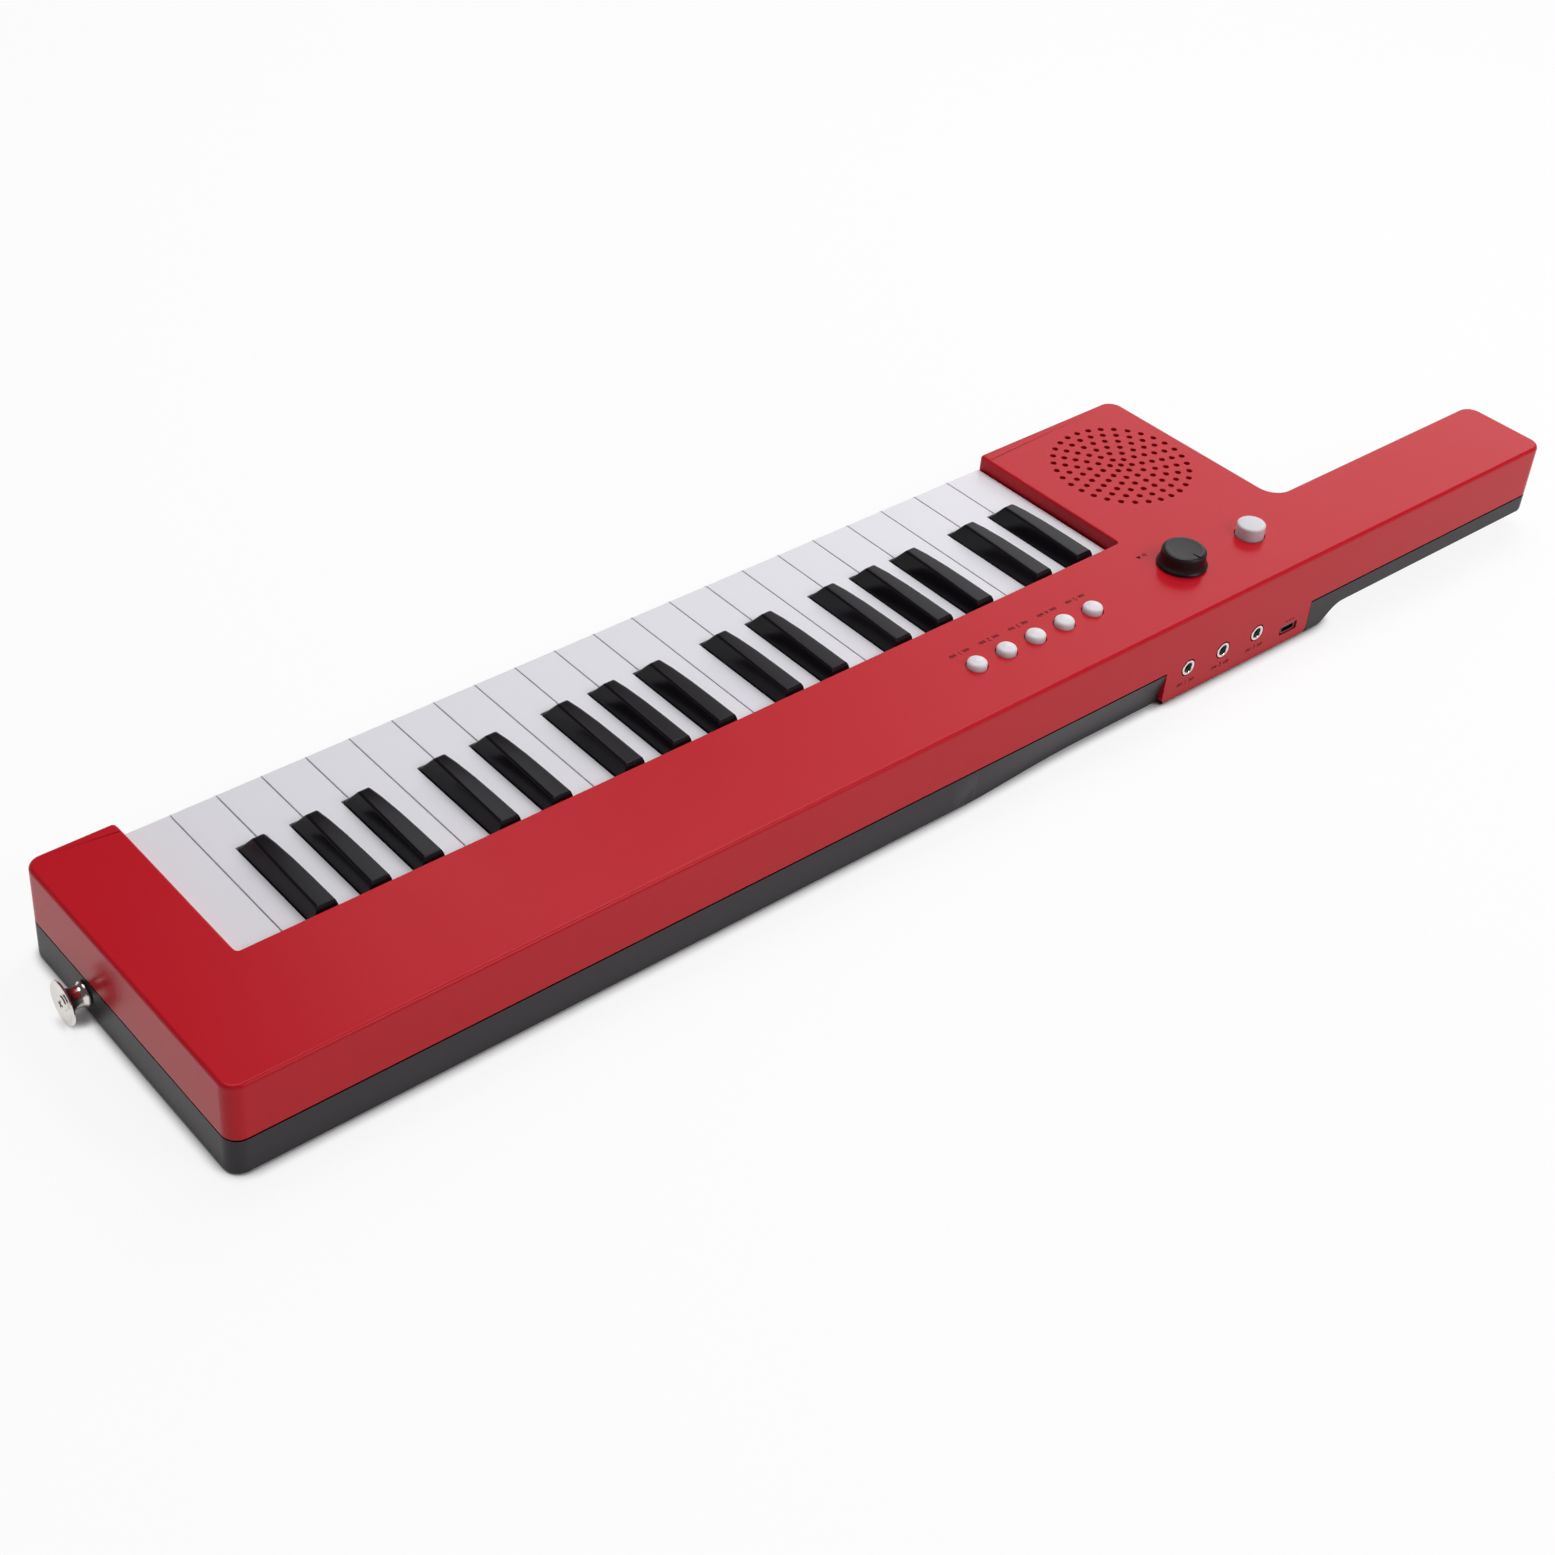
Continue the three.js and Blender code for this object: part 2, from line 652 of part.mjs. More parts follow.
// Battery door: flush plate with two tabs under the case on one side and a latch on the other
function makeBatteryDoor() {
  const [x0, x1] = [bayX[0] + doorGap, bayX[1] - doorGap];
  const [y0, y1] = [bayY[0] + doorGap, bayY[1] - doorGap];
  const top = doorRecess + doorThickness;
  const plate = prism(rectangle([x0, x1], [y0, y1], cheekCornerRadius), [doorRecess, top]);
  const middle = (x0 + x1) / 2;
  const tabs = [-1, 1].map((hand) => {
    const x = middle + hand * doorTabShare * bayLength;
    const foot = caseWall + runningGap;
    return box([x - doorTabWidth / 2, x + doorTabWidth / 2], [y1 - doorTabReach, y1],
      [doorRecess, foot + doorTabThickness]);
  });
  const latchX = [middle - latchWidth / 2, middle + latchWidth / 2];
  const latchY = y0 + latchSetback;
  const latch = box(latchX, [latchY, latchY + latchThickness], [doorRecess, top + latchHeight]);
  const dishY = latchY + 2 * latchThickness;
  const fingerDish = box(latchX, [dishY, dishY + doorTabWidth], [-overrun, doorRecess + latchRecessDepth]);
  return join([plate, latch, ...tabs]).subtract(fingerDish);
}

// Black keys between the white ones, placed so that the white tails of a group are alike
const noteLetters = ['c', 'd', 'e', 'f', 'g', 'a', 'b'];
const lowOctave = 3;
const groupSizes = [3, 4];
const keyTailEnd = hingeY + hookRadius;

function tailWidth(groupSize) {
  return (groupSize * keyPitch - keyGap - (groupSize - 1) * blackKeyCut) / groupSize;
}

// Every white key with the places of its tail, and every black key with its centre line
function layOutKeys() {
  const whites = [];
  const blacks = [];
  for (let n = 0; n < whiteKeyCount; n += 1) {
    const degree = n % noteLetters.length;
    const letter = noteLetters[degree];
    const octave = lowOctave + Math.floor(n / noteLetters.length);
    const firstGroup = degree < groupSizes[0];
    const group = firstGroup ? groupSizes[0] : groupSizes[1];
    const step = firstGroup ? degree : degree - groupSizes[0];
    const left = keyboardBass + n * keyPitch + keyGap / 2;
    const right = left + keyPitch - keyGap;
    const groupLeft = left - step * keyPitch;
    const width = tailWidth(group);
    const tailLeft = groupLeft + step * (width + blackKeyCut);
    const topNote = n === whiteKeyCount - 1;
    const tailRight = topNote ? right : tailLeft + width;
    whites.push({ name: `key_${letter}${octave}`, left, right, tailLeft, tailRight });
    if (step < group - 1 && !topNote) {
      blacks.push({ name: `key_${letter}${octave}_sharp`, centre: tailRight + blackKeyCut / 2 });
    }
  }
  return { whites, blacks };
}

const keys = layOutKeys();

// Side view shared by both kinds of key behind the panel's edge: a bar that ends over the hinge
const tailCorners = [
  [keyTailEnd, barFoot],
  [panelEdge + caseWall, barFoot],
  [panelEdge - caseWall, keySkirtFoot],
];

function hinge(x) {
  const hook = box([x - hookWidth / 2, x + hookWidth / 2], [hingeY - hookRadius, hingeY + hookRadius],
    [hingeHeight - hingeRailRadius, barFoot + keyBarThickness / 2]);
  const bore = alongX(rod(hingeRailRadius + runningGap, [-hookWidth, hookWidth], smallFacets))
    .translate([x, hingeY, hingeHeight]);
  return { hook, bore };
}

// White key: rounded front edge, deep front lip, shallow skirts, cut-outs beside the black keys
function makeWhiteKey({ left, right, tailLeft, tailRight }) {
  const cutFront = caseFront + keyCutFront;
  const side = outline([
    [keyFront, keyLipFoot, 0],
    [keyFront + keyWall, keyLipFoot, 0],
    [keyFront + keyWall + keyTopThickness, keySkirtFoot, 0],
    ...tailCorners.toReversed().map(([y, z]) => [y, z, 0]),
    [keyTailEnd, whiteKeyTop, 0],
    [keyFront, whiteKeyTop, keyEdgeRadius],
  ]);
  const plan = outline([
    [left, keyFront - overrun], [right, keyFront - overrun], [right, cutFront], [tailRight, cutFront],
    [tailRight, keyTailEnd], [tailLeft, keyTailEnd], [tailLeft, cutFront], [left, cutFront],
  ].filter(([x, y], i, all) => x !== all.at(i - 1)[0] || y !== all.at(i - 1)[1]));
  const body = sideProfile(side, [left, right], holeFacets)
    .intersect(prism(plan, [keyLipFoot - overrun, bodyHeight]));

  const hollowTop = whiteKeyTop - keyTopThickness;
  const hollowRear = panelEdge - caseWall - keyWall;
  const hollowSpan = [keyLipFoot - overrun, hollowTop];
  const frontHollow = box([left + keyWall, right - keyWall],
    [keyFront + keyWall, cutFront - keyWall], hollowSpan);
  const tailHollow = box([tailLeft + keyWall, tailRight - keyWall],
    [cutFront - keyWall - overrun, hollowRear], hollowSpan);
  const tailMiddle = (tailLeft + tailRight) / 2;
  const { hook, bore } = hinge(tailMiddle);
  return body.subtract(frontHollow.add(tailHollow)).add(hook).subtract(bore);
}

// Black key: sloping flanks and front, a flat top that drops before the panel, and a tail under it
function makeBlackKey({ centre }) {
  const top = whiteKeyTop + blackKeyRise;
  const frontFoot = caseFront + blackKeyFront;
  const rear = panelEdge - blackKeyRearGap;
  const half = blackKeyWidth / 2;
  const topHalf = blackKeyTopWidth / 2;
  const flanks = outline([
    [centre - half, keySkirtFoot], [centre + half, keySkirtFoot], [centre + half, whiteKeyTop + blackKeyEdge],
    [centre + topHalf + blackKeyEdge, top - blackKeyEdge], [centre + topHalf, top], [centre - topHalf, top],
    [centre - topHalf - blackKeyEdge, top - blackKeyEdge], [centre - half, whiteKeyTop + blackKeyEdge],
  ]);
  const side = outline([
    [frontFoot, keySkirtFoot], ...tailCorners.toReversed(), [keyTailEnd, whiteKeyTop], [rear, whiteKeyTop],
    [rear, top - 2 * blackKeyEdge], [rear - 2 * blackKeyEdge, top],
    [frontFoot + blackKeyFrontSlope, top], [frontFoot, whiteKeyTop],
  ]);
  const body = frontProfile(flanks, [frontFoot - overrun, keyTailEnd]).intersect(
    sideProfile(side, [centre - half, centre + half]));
  const hollow = box([centre - topHalf, centre + topHalf], [frontFoot + 2 * keyWall, rear - keyWall],
    [keySkirtFoot - overrun, whiteKeyTop + keyTopThickness]);
  const { hook, bore } = hinge(centre);
  return body.subtract(hollow).add(hook).subtract(bore);
}

// Key frame: ribbed plate with the hinge rail on posts behind and a guide under every key
const frameX = [keybedBass + frameSideGap, keybedTreble - frameSideGap];
const frameY = [caseFront + frameFrontSetback, -frameRearSetback];
const frameTop = frameHeight + frameThickness;
const framePostPlaces = Array.from({ length: framePostCount }, (_, i) => {
  const x = frameX[0] + postRadius + ((frameX[1] - frameX[0] - 2 * postRadius) * i) / (framePostCount - 1);
  return [[x, frameY[0] + postRadius], [x, -contactSetback + contactBoardDepth / 2 + postRadius]];
}).flat();

function makeKeyFrame() {
  const plate = box(frameX, frameY, [frameHeight, frameTop]);
  const ribYs = [frameY[0], -contactSetback - contactBoardDepth, panelEdge - caseRib, frameY[1] - caseRib];
  const cross = ribYs.map((y) =>
    box(frameX, [y, y + caseRib], [frameTop - overrun, frameTop + frameRibHeight]));
  const guideTop = whiteKeyTop - keyTopThickness - whiteKeyDip - runningGap;
  const whiteGuideY = keyFront + guideSetback;
  const whiteGuides = keys.whites.map(({ left, right }) =>
    box([left + keyWall + guidePlay, right - keyWall - guidePlay], [whiteGuideY, whiteGuideY + guideDepth],
      [frameTop - overrun, guideTop]));
  const blackGuideY = caseFront + blackGuideShare * keyReach;
  const topHalf = blackKeyTopWidth / 2;
  const blackGuides = keys.blacks.map(({ centre }) =>
    box([centre - topHalf + guidePlay, centre + topHalf - guidePlay], [blackGuideY, blackGuideY + guideDepth],
      [frameTop - overrun, guideTop]));
  const rail = alongX(rod(hingeRailRadius, frameX, smallFacets)).translate([0, hingeY, hingeHeight]);
  const groupStarts = keys.whites.filter(({ left, tailLeft }) => left === tailLeft);
  const boundaries = groupStarts.map(({ left }) => left - keyGap / 2);
  const postXs = [...boundaries.slice(1), frameX[0] + railPostWidth / 2, frameX[1] - railPostWidth / 2];
  const railPosts = postXs.map((x) =>
    box([x - railPostWidth / 2, x + railPostWidth / 2],
      [hingeY - railPostDepth / 2, hingeY + railPostDepth / 2], [frameTop - overrun, hingeHeight]));
  return join([plate, ...cross, ...whiteGuides, ...blackGuides, ...railPosts, rail]);
}

// Contact board on the frame, and the rubber strip with a dome under every key
function makeContactBoard() {
  return box([frameX[0] + boardEndGap, frameX[1] - boardEndGap],
    [-contactSetback - contactBoardDepth / 2, -contactSetback + contactBoardDepth / 2],
    [frameTop + runningGap, frameTop + runningGap + boardThickness]);
}

function makeContactRubber() {
  const foot = frameTop + 2 * runningGap + boardThickness;
  const strip = box([frameX[0] + 2 * boardEndGap, frameX[1] - 2 * boardEndGap],
    [-contactSetback - rubberDepth / 2, -contactSetback + rubberDepth / 2], [foot, foot + rubberThickness]);
  const dome = turned([[0, foot + overrun / 2], [domeRadius, foot + overrun / 2],
    [domeRadius, foot + rubberThickness], [domeTipRadius, foot + rubberThickness + domeHeight],
    [0, foot + rubberThickness + domeHeight]], smallFacets);
  const centres = [...keys.whites.map(({ tailLeft, tailRight }) => (tailLeft + tailRight) / 2),
    ...keys.blacks.map(({ centre }) => centre)];
  return join([strip, ...centres.map((x) => dome.translate([x, -contactSetback, 0]))]);
}

// Speaker: rim against the panel, paper cone with its cap, basket and magnet
function makeSpeaker() {
  const top = panelUnderside - runningGap;
  const foot = top - speakerDepth;
  const rimInner = speakerRadius - speakerRimWidth;
  return turned([
    [0, foot], [magnetRadius, foot], [magnetRadius, foot + magnetHeight],
    [speakerBasketRadius, foot + magnetHeight + speakerRimThickness], [rimInner, top - speakerRimThickness],
    [speakerRadius, top - speakerRimThickness], [speakerRadius, top], [rimInner, top],
    [speakerConeRadius, top - speakerRimThickness / 2], [speakerCapRadius, top - speakerConeDepth],
    [0, top - speakerConeDepth + speakerRimThickness],
  ], middleFacets).translate([grilleX, grilleY, 0]);
}

// Main board with a switch under every button
const boardX = [blockEnd + boardNeckInset, smallButtonXs.at(-1) + boardTrebleInset];
const boardY = [-boardFrontSetback, boardDepth - boardFrontSetback];
const boardPostPlaces = [
  [boardX[0] + postRadius, boardY[0] + postRadius],
  [boardX[0] + postRadius, boardY[1] - postRadius],
  [boardX[1] - boardPostRadius, boardY[0] + boardPostRadius],
  [boardX[1] - boardPostRadius, boardY[1] - boardPostRadius],
];

function makeMainBoard() {
  const plate = box(boardX, boardY, [boardTop - boardThickness, boardTop]);
  const places = [[largeButtonX, largeButtonY], ...smallButtonXs.map((x) => [x, smallButtonY])];
  const half = switchSize / 2;
  const switches = places.map(([x, y]) =>
    box([x - half, x + half], [y - half, y + half],
      [boardTop - boardThickness / 2, boardTop + switchHeight]));
  return join([plate, ...switches]);
}

// Push button: rounded cap, flange that stops it under the panel, and a stem to its switch
function makeButton(radius, rise) {
  const stop = panelUnderside - runningGap;
  const top = bodyHeight + rise;
  const switchTop = boardTop + switchHeight;
  const crown = buttonEdgeRadius * (1 - Math.SQRT1_2);
  return turned([
    [0, switchTop + buttonTravel + runningGap], [buttonStemRadius, switchTop + buttonTravel + runningGap],
    [buttonStemRadius, stop - buttonFlangeThickness],
    [radius + buttonFlangeWidth, stop - buttonFlangeThickness], [radius + buttonFlangeWidth, stop],
    [radius, stop], [radius, top - buttonEdgeRadius],
    [radius - crown, top - crown], [radius - buttonEdgeRadius, top], [0, top],
  ], coarseFacets);
}

// Volume knob: flared skirt, tapered body, pointer notch, and a socket for the shaft
function makeKnob() {
  const foot = bodyHeight + knobLift;
  const top = bodyHeight + knobHeight;
  const body = turned([
    [0, foot], [knobBaseRadius, foot], [knobBodyRadius, foot + knobSkirtHeight],
    [knobTopRadius, top - knobEdgeRadius], [knobTopRadius - knobEdgeRadius, top], [0, top],
  ]);
  const socket = rod(potShaftRadius + potShaftGap, [foot - overrun, top - shaftCover]);
  const notch = box([-knobNotchWidth / 2, knobNotchWidth / 2],
    [knobTopRadius - knobNotchLength, knobTopRadius + overrun], [top - knobNotchDepth, top + overrun]);
  return body.subtract(socket).subtract(notch);
}

function makePotentiometer() {
  const foot = boardTop + runningGap;
  const shaftTop = bodyHeight + knobHeight - shaftCover - potShaftGap;
  return turned([
    [0, foot], [potBodyRadius, foot], [potBodyRadius, foot + potBodyHeight],
    [potBushRadius, foot + potBodyHeight], [potBushRadius, foot + potBodyHeight + potBushHeight],
    [potShaftRadius, foot + potBodyHeight + potBushHeight], [potShaftRadius, shaftTop], [0, shaftTop],
  ], coarseFacets);
}

// Audio jack: nickel ring in the jack panel, bore and a block behind it
function makeJack() {
  const blockFront = -caseWall - runningGap;
  const block = box([-jackBodySize / 2, jackBodySize / 2], [blockFront - jackBodyDepth, blockFront],
    [-jackBodySize / 2, jackBodySize / 2]);
  const ring = alongY(rod(jackRingRadius, [-caseWall - jackBodyDepth / 2, jackRingProud], coarseFacets));
  const mouth = jackBoreRadius + jackChamfer;
  const bore = alongY(turned([
    [0, overrun - jackBodyDepth], [jackBoreRadius, overrun - jackBodyDepth],
    [jackBoreRadius, jackRingProud - jackChamfer], [mouth, jackRingProud], [mouth, overrun], [0, overrun],
  ], coarseFacets));
  return block.add(ring).subtract(bore);
}

// USB socket: thin metal shell with a tongue inside
function makeUsbSocket() {
  const half = usbWidth / 2;
  const tall = usbThickness / 2;
  const shell = box([-half, half], [-usbRecess - usbDepth, -usbRecess], [-tall, tall]);
  const mouth = box([-half + usbWall, half - usbWall], [-usbDepth, overrun],
    [-tall + usbWall, tall - usbWall]);
  const tongue = box([-half / 2, half / 2], [-usbDepth - usbRecess / 2, -2 * usbRecess],
    [-usbWall / 2, usbWall / 2]);
  return shell.subtract(mouth).add(tongue);
}

// Strap pin: dished head, waisted neck, flange on the case and a shank through the wall
const strapPinY = caseFront + strapPinSetback;
const strapPinPlaces = [[0, strapPinHeight], [blockEnd, neckSidePinHeight]];

function makeStrapPin() {
  const seat = runningGap;
  const headFoot = strapPinReach - strapPinHeadThickness;
  return alongX(turned([
    [0, -strapPinShankLength], [strapPinShankRadius, -strapPinShankLength], [strapPinShankRadius, seat],
    [strapPinFlangeRadius, seat], [strapPinFlangeRadius, seat + strapPinFlangeThickness],
    [strapPinNeckRadius, seat + 2 * strapPinFlangeThickness],
    [strapPinNeckRadius, headFoot - strapPinFlangeThickness],
    [strapPinHeadRadius, headFoot], [strapPinHeadRadius, strapPinReach],
    [strapPinScrewRadius, strapPinReach - strapPinDish], [0, strapPinReach - strapPinDish],
  ], 2 * holeFacets));
}

// Pitch wheel: grooved rim, thin web and axle stubs
function makePitchWheel() {
  const half = wheelWidth / 2;
  const axle = half + wheelAxleReach;
  const wheel = turned([
    [0, -axle], [wheelAxleRadius, -axle], [wheelAxleRadius, -half], [wheelRadius, -half],
    [wheelRadius, half], [wheelAxleRadius, half], [wheelAxleRadius, axle], [0, axle],
  ], 2 * wheelGrooveCount);
  const groove = rod(wheelGrooveRadius, [-half - overrun, half + overrun], holeFacets / 2)
    .translate([wheelRadius, 0, 0]);
  const grooves = Array.from({ length: wheelGrooveCount }, (_, i) =>
    groove.rotate([0, 0, (360 * i) / wheelGrooveCount]));
  const hub = wheelRadius - 2 * wheelRim;
  const boss = wheelAxleRadius + wheelRim;
  const dishFloor = half - wheelRim / 2;
  const dish = turned([
    [boss, dishFloor], [hub, dishFloor], [hub, half + overrun], [boss, half + overrun], [boss, dishFloor],
  ], middleFacets);
  return wheel.subtract(join([dish, dish.rotate([180, 0, 0]), ...grooves]));
}

// Assembly
const keytar = new THREE.Group();
const reach = strapPinReach;
keytar.position.set((-neckEnd - reach) / 2, (bodyDepth - jackRingProud) / 2, 0);

function place(name, body, material, [x, y, z] = [0, 0, 0], turn = [0, 0, 0]) {
  const mesh = new THREE.Mesh(geometryOf(body), material);
  mesh.name = name;
  mesh.position.set(x, y, z);
  mesh.rotation.set(...turn);
  keytar.add(mesh);
  return mesh;
}

place('upper_case', makeUpperCase(), redPlastic);
place('lower_case', makeLowerCase(), greyPlastic);
place('battery_door', makeBatteryDoor(), greyPlastic);
place('key_frame', makeKeyFrame(), framePlastic);
place('key_contact_board', makeContactBoard(), boardGreen);
place('key_contact_rubber', makeContactRubber(), rubber);
for (const key of keys.whites) place(key.name, makeWhiteKey(key), whitePlastic);
for (const key of keys.blacks) place(key.name, makeBlackKey(key), blackPlastic);
place('main_board', makeMainBoard(), boardGreen);
place('speaker', makeSpeaker(), framePlastic);
place('volume_potentiometer', makePotentiometer(), steel, [knobX, knobY, 0]);
place('volume_knob', makeKnob(), knobPlastic, [knobX, knobY, 0]);
place('power_button', makeButton(largeButtonRadius, largeButtonRise), buttonPlastic,
  [largeButtonX, largeButtonY, 0]);
smallButtonXs.forEach((x, i) => {
  const button = makeButton(smallButtonRadius, smallButtonRise);
  place(`panel_button_${i + 1}`, button, buttonPlastic, [x, smallButtonY, 0]);
});
jackXs.forEach((x, i) => place(`audio_jack_${i + 1}`, makeJack(), nickel, [x, 0, jackHeight]));
place('usb_socket', makeUsbSocket(), steel, [usbX, 0, usbHeight]);
place('strap_pin_treble', makeStrapPin(), nickel, [0, strapPinY, strapPinHeight]);
place('strap_pin_neck_side', makeStrapPin(), nickel,
  [blockEnd, strapPinY, neckSidePinHeight], [0, 0, Math.PI]);
place('pitch_wheel', makePitchWheel(), framePlastic, [wheelX, wheelY, wheelZ], [Math.PI / 2, 0, 0]);

export default keytar;
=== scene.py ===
# Keytar with mini keys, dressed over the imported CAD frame
# Metres, in the frame's own axes: X from the neck to the treble end, Y to the jack side, Z up
import bpy
import bmesh
import math
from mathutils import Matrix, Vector


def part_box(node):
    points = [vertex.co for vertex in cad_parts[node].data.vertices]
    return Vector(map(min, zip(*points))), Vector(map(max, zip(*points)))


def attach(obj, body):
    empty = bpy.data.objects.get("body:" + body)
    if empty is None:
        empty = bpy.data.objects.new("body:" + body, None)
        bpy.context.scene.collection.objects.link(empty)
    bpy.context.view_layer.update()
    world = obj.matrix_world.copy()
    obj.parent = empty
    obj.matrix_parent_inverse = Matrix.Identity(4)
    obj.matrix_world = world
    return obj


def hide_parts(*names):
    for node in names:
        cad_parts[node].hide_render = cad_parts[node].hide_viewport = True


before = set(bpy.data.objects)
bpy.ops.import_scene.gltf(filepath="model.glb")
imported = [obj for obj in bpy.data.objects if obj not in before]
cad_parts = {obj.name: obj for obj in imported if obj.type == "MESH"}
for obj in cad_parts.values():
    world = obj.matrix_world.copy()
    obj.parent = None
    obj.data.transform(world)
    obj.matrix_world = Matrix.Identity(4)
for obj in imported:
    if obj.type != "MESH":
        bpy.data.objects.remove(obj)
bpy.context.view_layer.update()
mm = 0.001
caseLow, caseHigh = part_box("upper_case")


def at(x, y, z):
    # millimetres from the treble end, the jack side and the underside
    return Vector((caseHigh.x + x * mm, caseHigh.y + y * mm, z * mm))


# Small tools

upward, downward = Vector((0, 0, 1)), Vector((0, 0, -1))
toTreble, toNeck = Vector((1, 0, 0)), Vector((-1, 0, 0))
toJacks, toFront = Vector((0, 1, 0)), Vector((0, -1, 0))
overrun = 5    # millimetres that a cutter reaches past what it cuts
flatAngle = math.radians(0.5)    # faces that meet flatter than this count as one
squareOn = 0.9    # share of a face's normal that has to point a way for the face to look that way
turnedAngle = 30    # degrees above which an edge of a turned piece stays sharp
cornerSteps = 6
fineSides, capSides, holeSides, screwSides = 72, 48, 40, 32


def leaveEdit():
    bpy.ops.object.mode_set(mode="OBJECT")


def deselectAll():
    if bpy.context.mode != "OBJECT":
        leaveEdit()
    bpy.ops.object.select_all(action="DESELECT")


def activate(piece):
    deselectAll()
    piece.select_set(True)
    bpy.context.view_layer.objects.active = piece


def settle(piece, name):
    # name the new primitive and put its place into its mesh
    piece.name = piece.data.name = name
    activate(piece)
    bpy.ops.object.transform_apply(location=True, rotation=True, scale=True)
    return piece


def addBlock(name, low, high):
    deselectAll()
    bpy.ops.mesh.primitive_cube_add(size=1, location=(low + high) / 2, scale=high - low)
    return settle(bpy.context.object, name)


def addRound(name, centre, radius, depth, sides=32, turn=(0, 0, 0)):
    deselectAll()
    bpy.ops.mesh.primitive_cylinder_add(vertices=sides, radius=radius * mm, depth=depth * mm,
                                        location=centre, rotation=turn)
    return settle(bpy.context.object, name)


def pick(piece, kind, test):
    # in edit mode, select the verts, edges or faces that pass the test, and nothing else
    if bpy.context.mode != "EDIT_MESH":
        activate(piece)
        bpy.ops.object.mode_set(mode="EDIT")
    bpy.ops.mesh.select_mode(type={"verts": "VERT", "edges": "EDGE", "faces": "FACE"}[kind])
    bpy.ops.mesh.select_all(action="DESELECT")
    cage = bmesh.from_edit_mesh(piece.data)
    cage.normal_update()
    found = [part for part in getattr(cage, kind) if test(part)]
    for part in found:
        part.select_set(True)
    cage.select_flush_mode()
    bmesh.update_edit_mesh(piece.data)
    return len(found)


def near(a, b, slack=0.02):
    return abs(a - b) < slack * mm


def middle(part):
    # mean place of the corners of an edge or a face
    return sum((vert.co for vert in part.verts), Vector()) / len(part.verts)


def looks(face, way):
    return face.normal.dot(way) > squareOn


def level(edge, z):
    # both ends of the edge lie at this height
    return all(near(vert.co.z, z) for vert in edge.verts)


def runsAlong(edge, way):
    a, b = edge.verts
    return all(near(start, end) for start, end, own in zip(a.co, b.co, way) if not own)


def upright(edge):
    return runsAlong(edge, upward)


def addEdgeRow(piece, point, normal):
    # a straight row of edges all round the piece
    activate(piece)
    bpy.ops.object.mode_set(mode="EDIT")
    bpy.ops.mesh.select_all(action="SELECT")
    bpy.ops.mesh.bisect(plane_co=point, plane_no=normal)


def pull(step):
    bpy.ops.mesh.extrude_region_move(TRANSFORM_OT_translate={"value": step})


def rounded(radius, segments):
    bpy.ops.mesh.bevel(offset=radius * mm, segments=segments, affect="EDGES", clamp_overlap=False)


def easedBlock(name, low, high, radius, segments, test):
    # a block with the edges that pass the test rounded
    block = addBlock(name, low, high)
    pick(block, "edges", test)
    rounded(radius, segments)
    leaveEdit()
    return block


def cutAway(piece, cutter, operation="DIFFERENCE"):
    activate(piece)
    cut = piece.modifiers.new("cut", "BOOLEAN")
    cut.operation = operation
    cut.solver = "EXACT"
    cut.object = cutter
    bpy.ops.object.modifier_apply(modifier=cut.name)
    bpy.data.objects.remove(cutter)


def cutCross(piece, sizes, low, high):
    # the cross for a screwdriver, between two heights on the piece's own axis
    wide, long = sizes["crossWidth"] / 2, sizes["crossLength"] / 2
    cross = addBlock("cross", Vector((-wide, -long, low)) * mm, Vector((wide, long, high)) * mm)
    bar = addBlock("bar", Vector((-long, -wide, low)) * mm, Vector((long, wide, high)) * mm)
    cutAway(cross, bar, "UNION")
    cutAway(piece, cross)


def joined(pieces):
    deselectAll()
    for piece in pieces:
        piece.select_set(True)
    bpy.context.view_layer.objects.active = pieces[0]
    bpy.ops.object.join()
    return pieces[0]


def turnedPiece(name, profile, place, turn=(0, 0, 0), sides=capSides):
    # circles stacked through [radius, height] steps as on a lathe, then stood at its place
    deselectAll()
    radius, height = profile[0]
    bpy.ops.mesh.primitive_circle_add(vertices=sides, radius=radius * mm, fill_type="NGON",
                                      location=(0, 0, height * mm))
    piece = bpy.context.object
    settle(piece, name)
    bpy.ops.object.mode_set(mode="EDIT")
    bpy.ops.mesh.select_mode(type="FACE")
    bpy.ops.mesh.select_all(action="SELECT")
    for nextRadius, nextHeight in profile[1:]:
        pull((0, 0, (nextHeight - height) * mm))
        factor = nextRadius / radius
        bpy.ops.transform.resize(value=(factor, factor, 1), center_override=(0, 0, nextHeight * mm))
        radius, height = nextRadius, nextHeight
    bpy.ops.mesh.select_all(action="SELECT")
    bpy.ops.mesh.normals_make_consistent(inside=False)
    leaveEdit()
    piece.rotation_euler = turn
    piece.location = place
    return settle(piece, name)


def domed(radius, top, edge, crown, steps=5):
    # profile points of a cap: a rounded edge that runs on into a low crown
    points = [(radius, top - crown - edge)]
    for i in range(1, steps + 1):
        angle = math.pi / 2 * i / steps
        points.append((radius - edge * (1 - math.cos(angle)), top - crown - edge * (1 - math.sin(angle))))
    flat = radius - edge
    for share in (0.75, 0.5, 0.25, 0.05):
        points.append((flat * share, top - crown * share * share))
    return points


def markEdges(piece, weight, test):
    # a larger weight gives these edges a rounder bevel
    pick(piece, "edges", test)
    bpy.ops.transform.edge_bevelweight(value=weight)


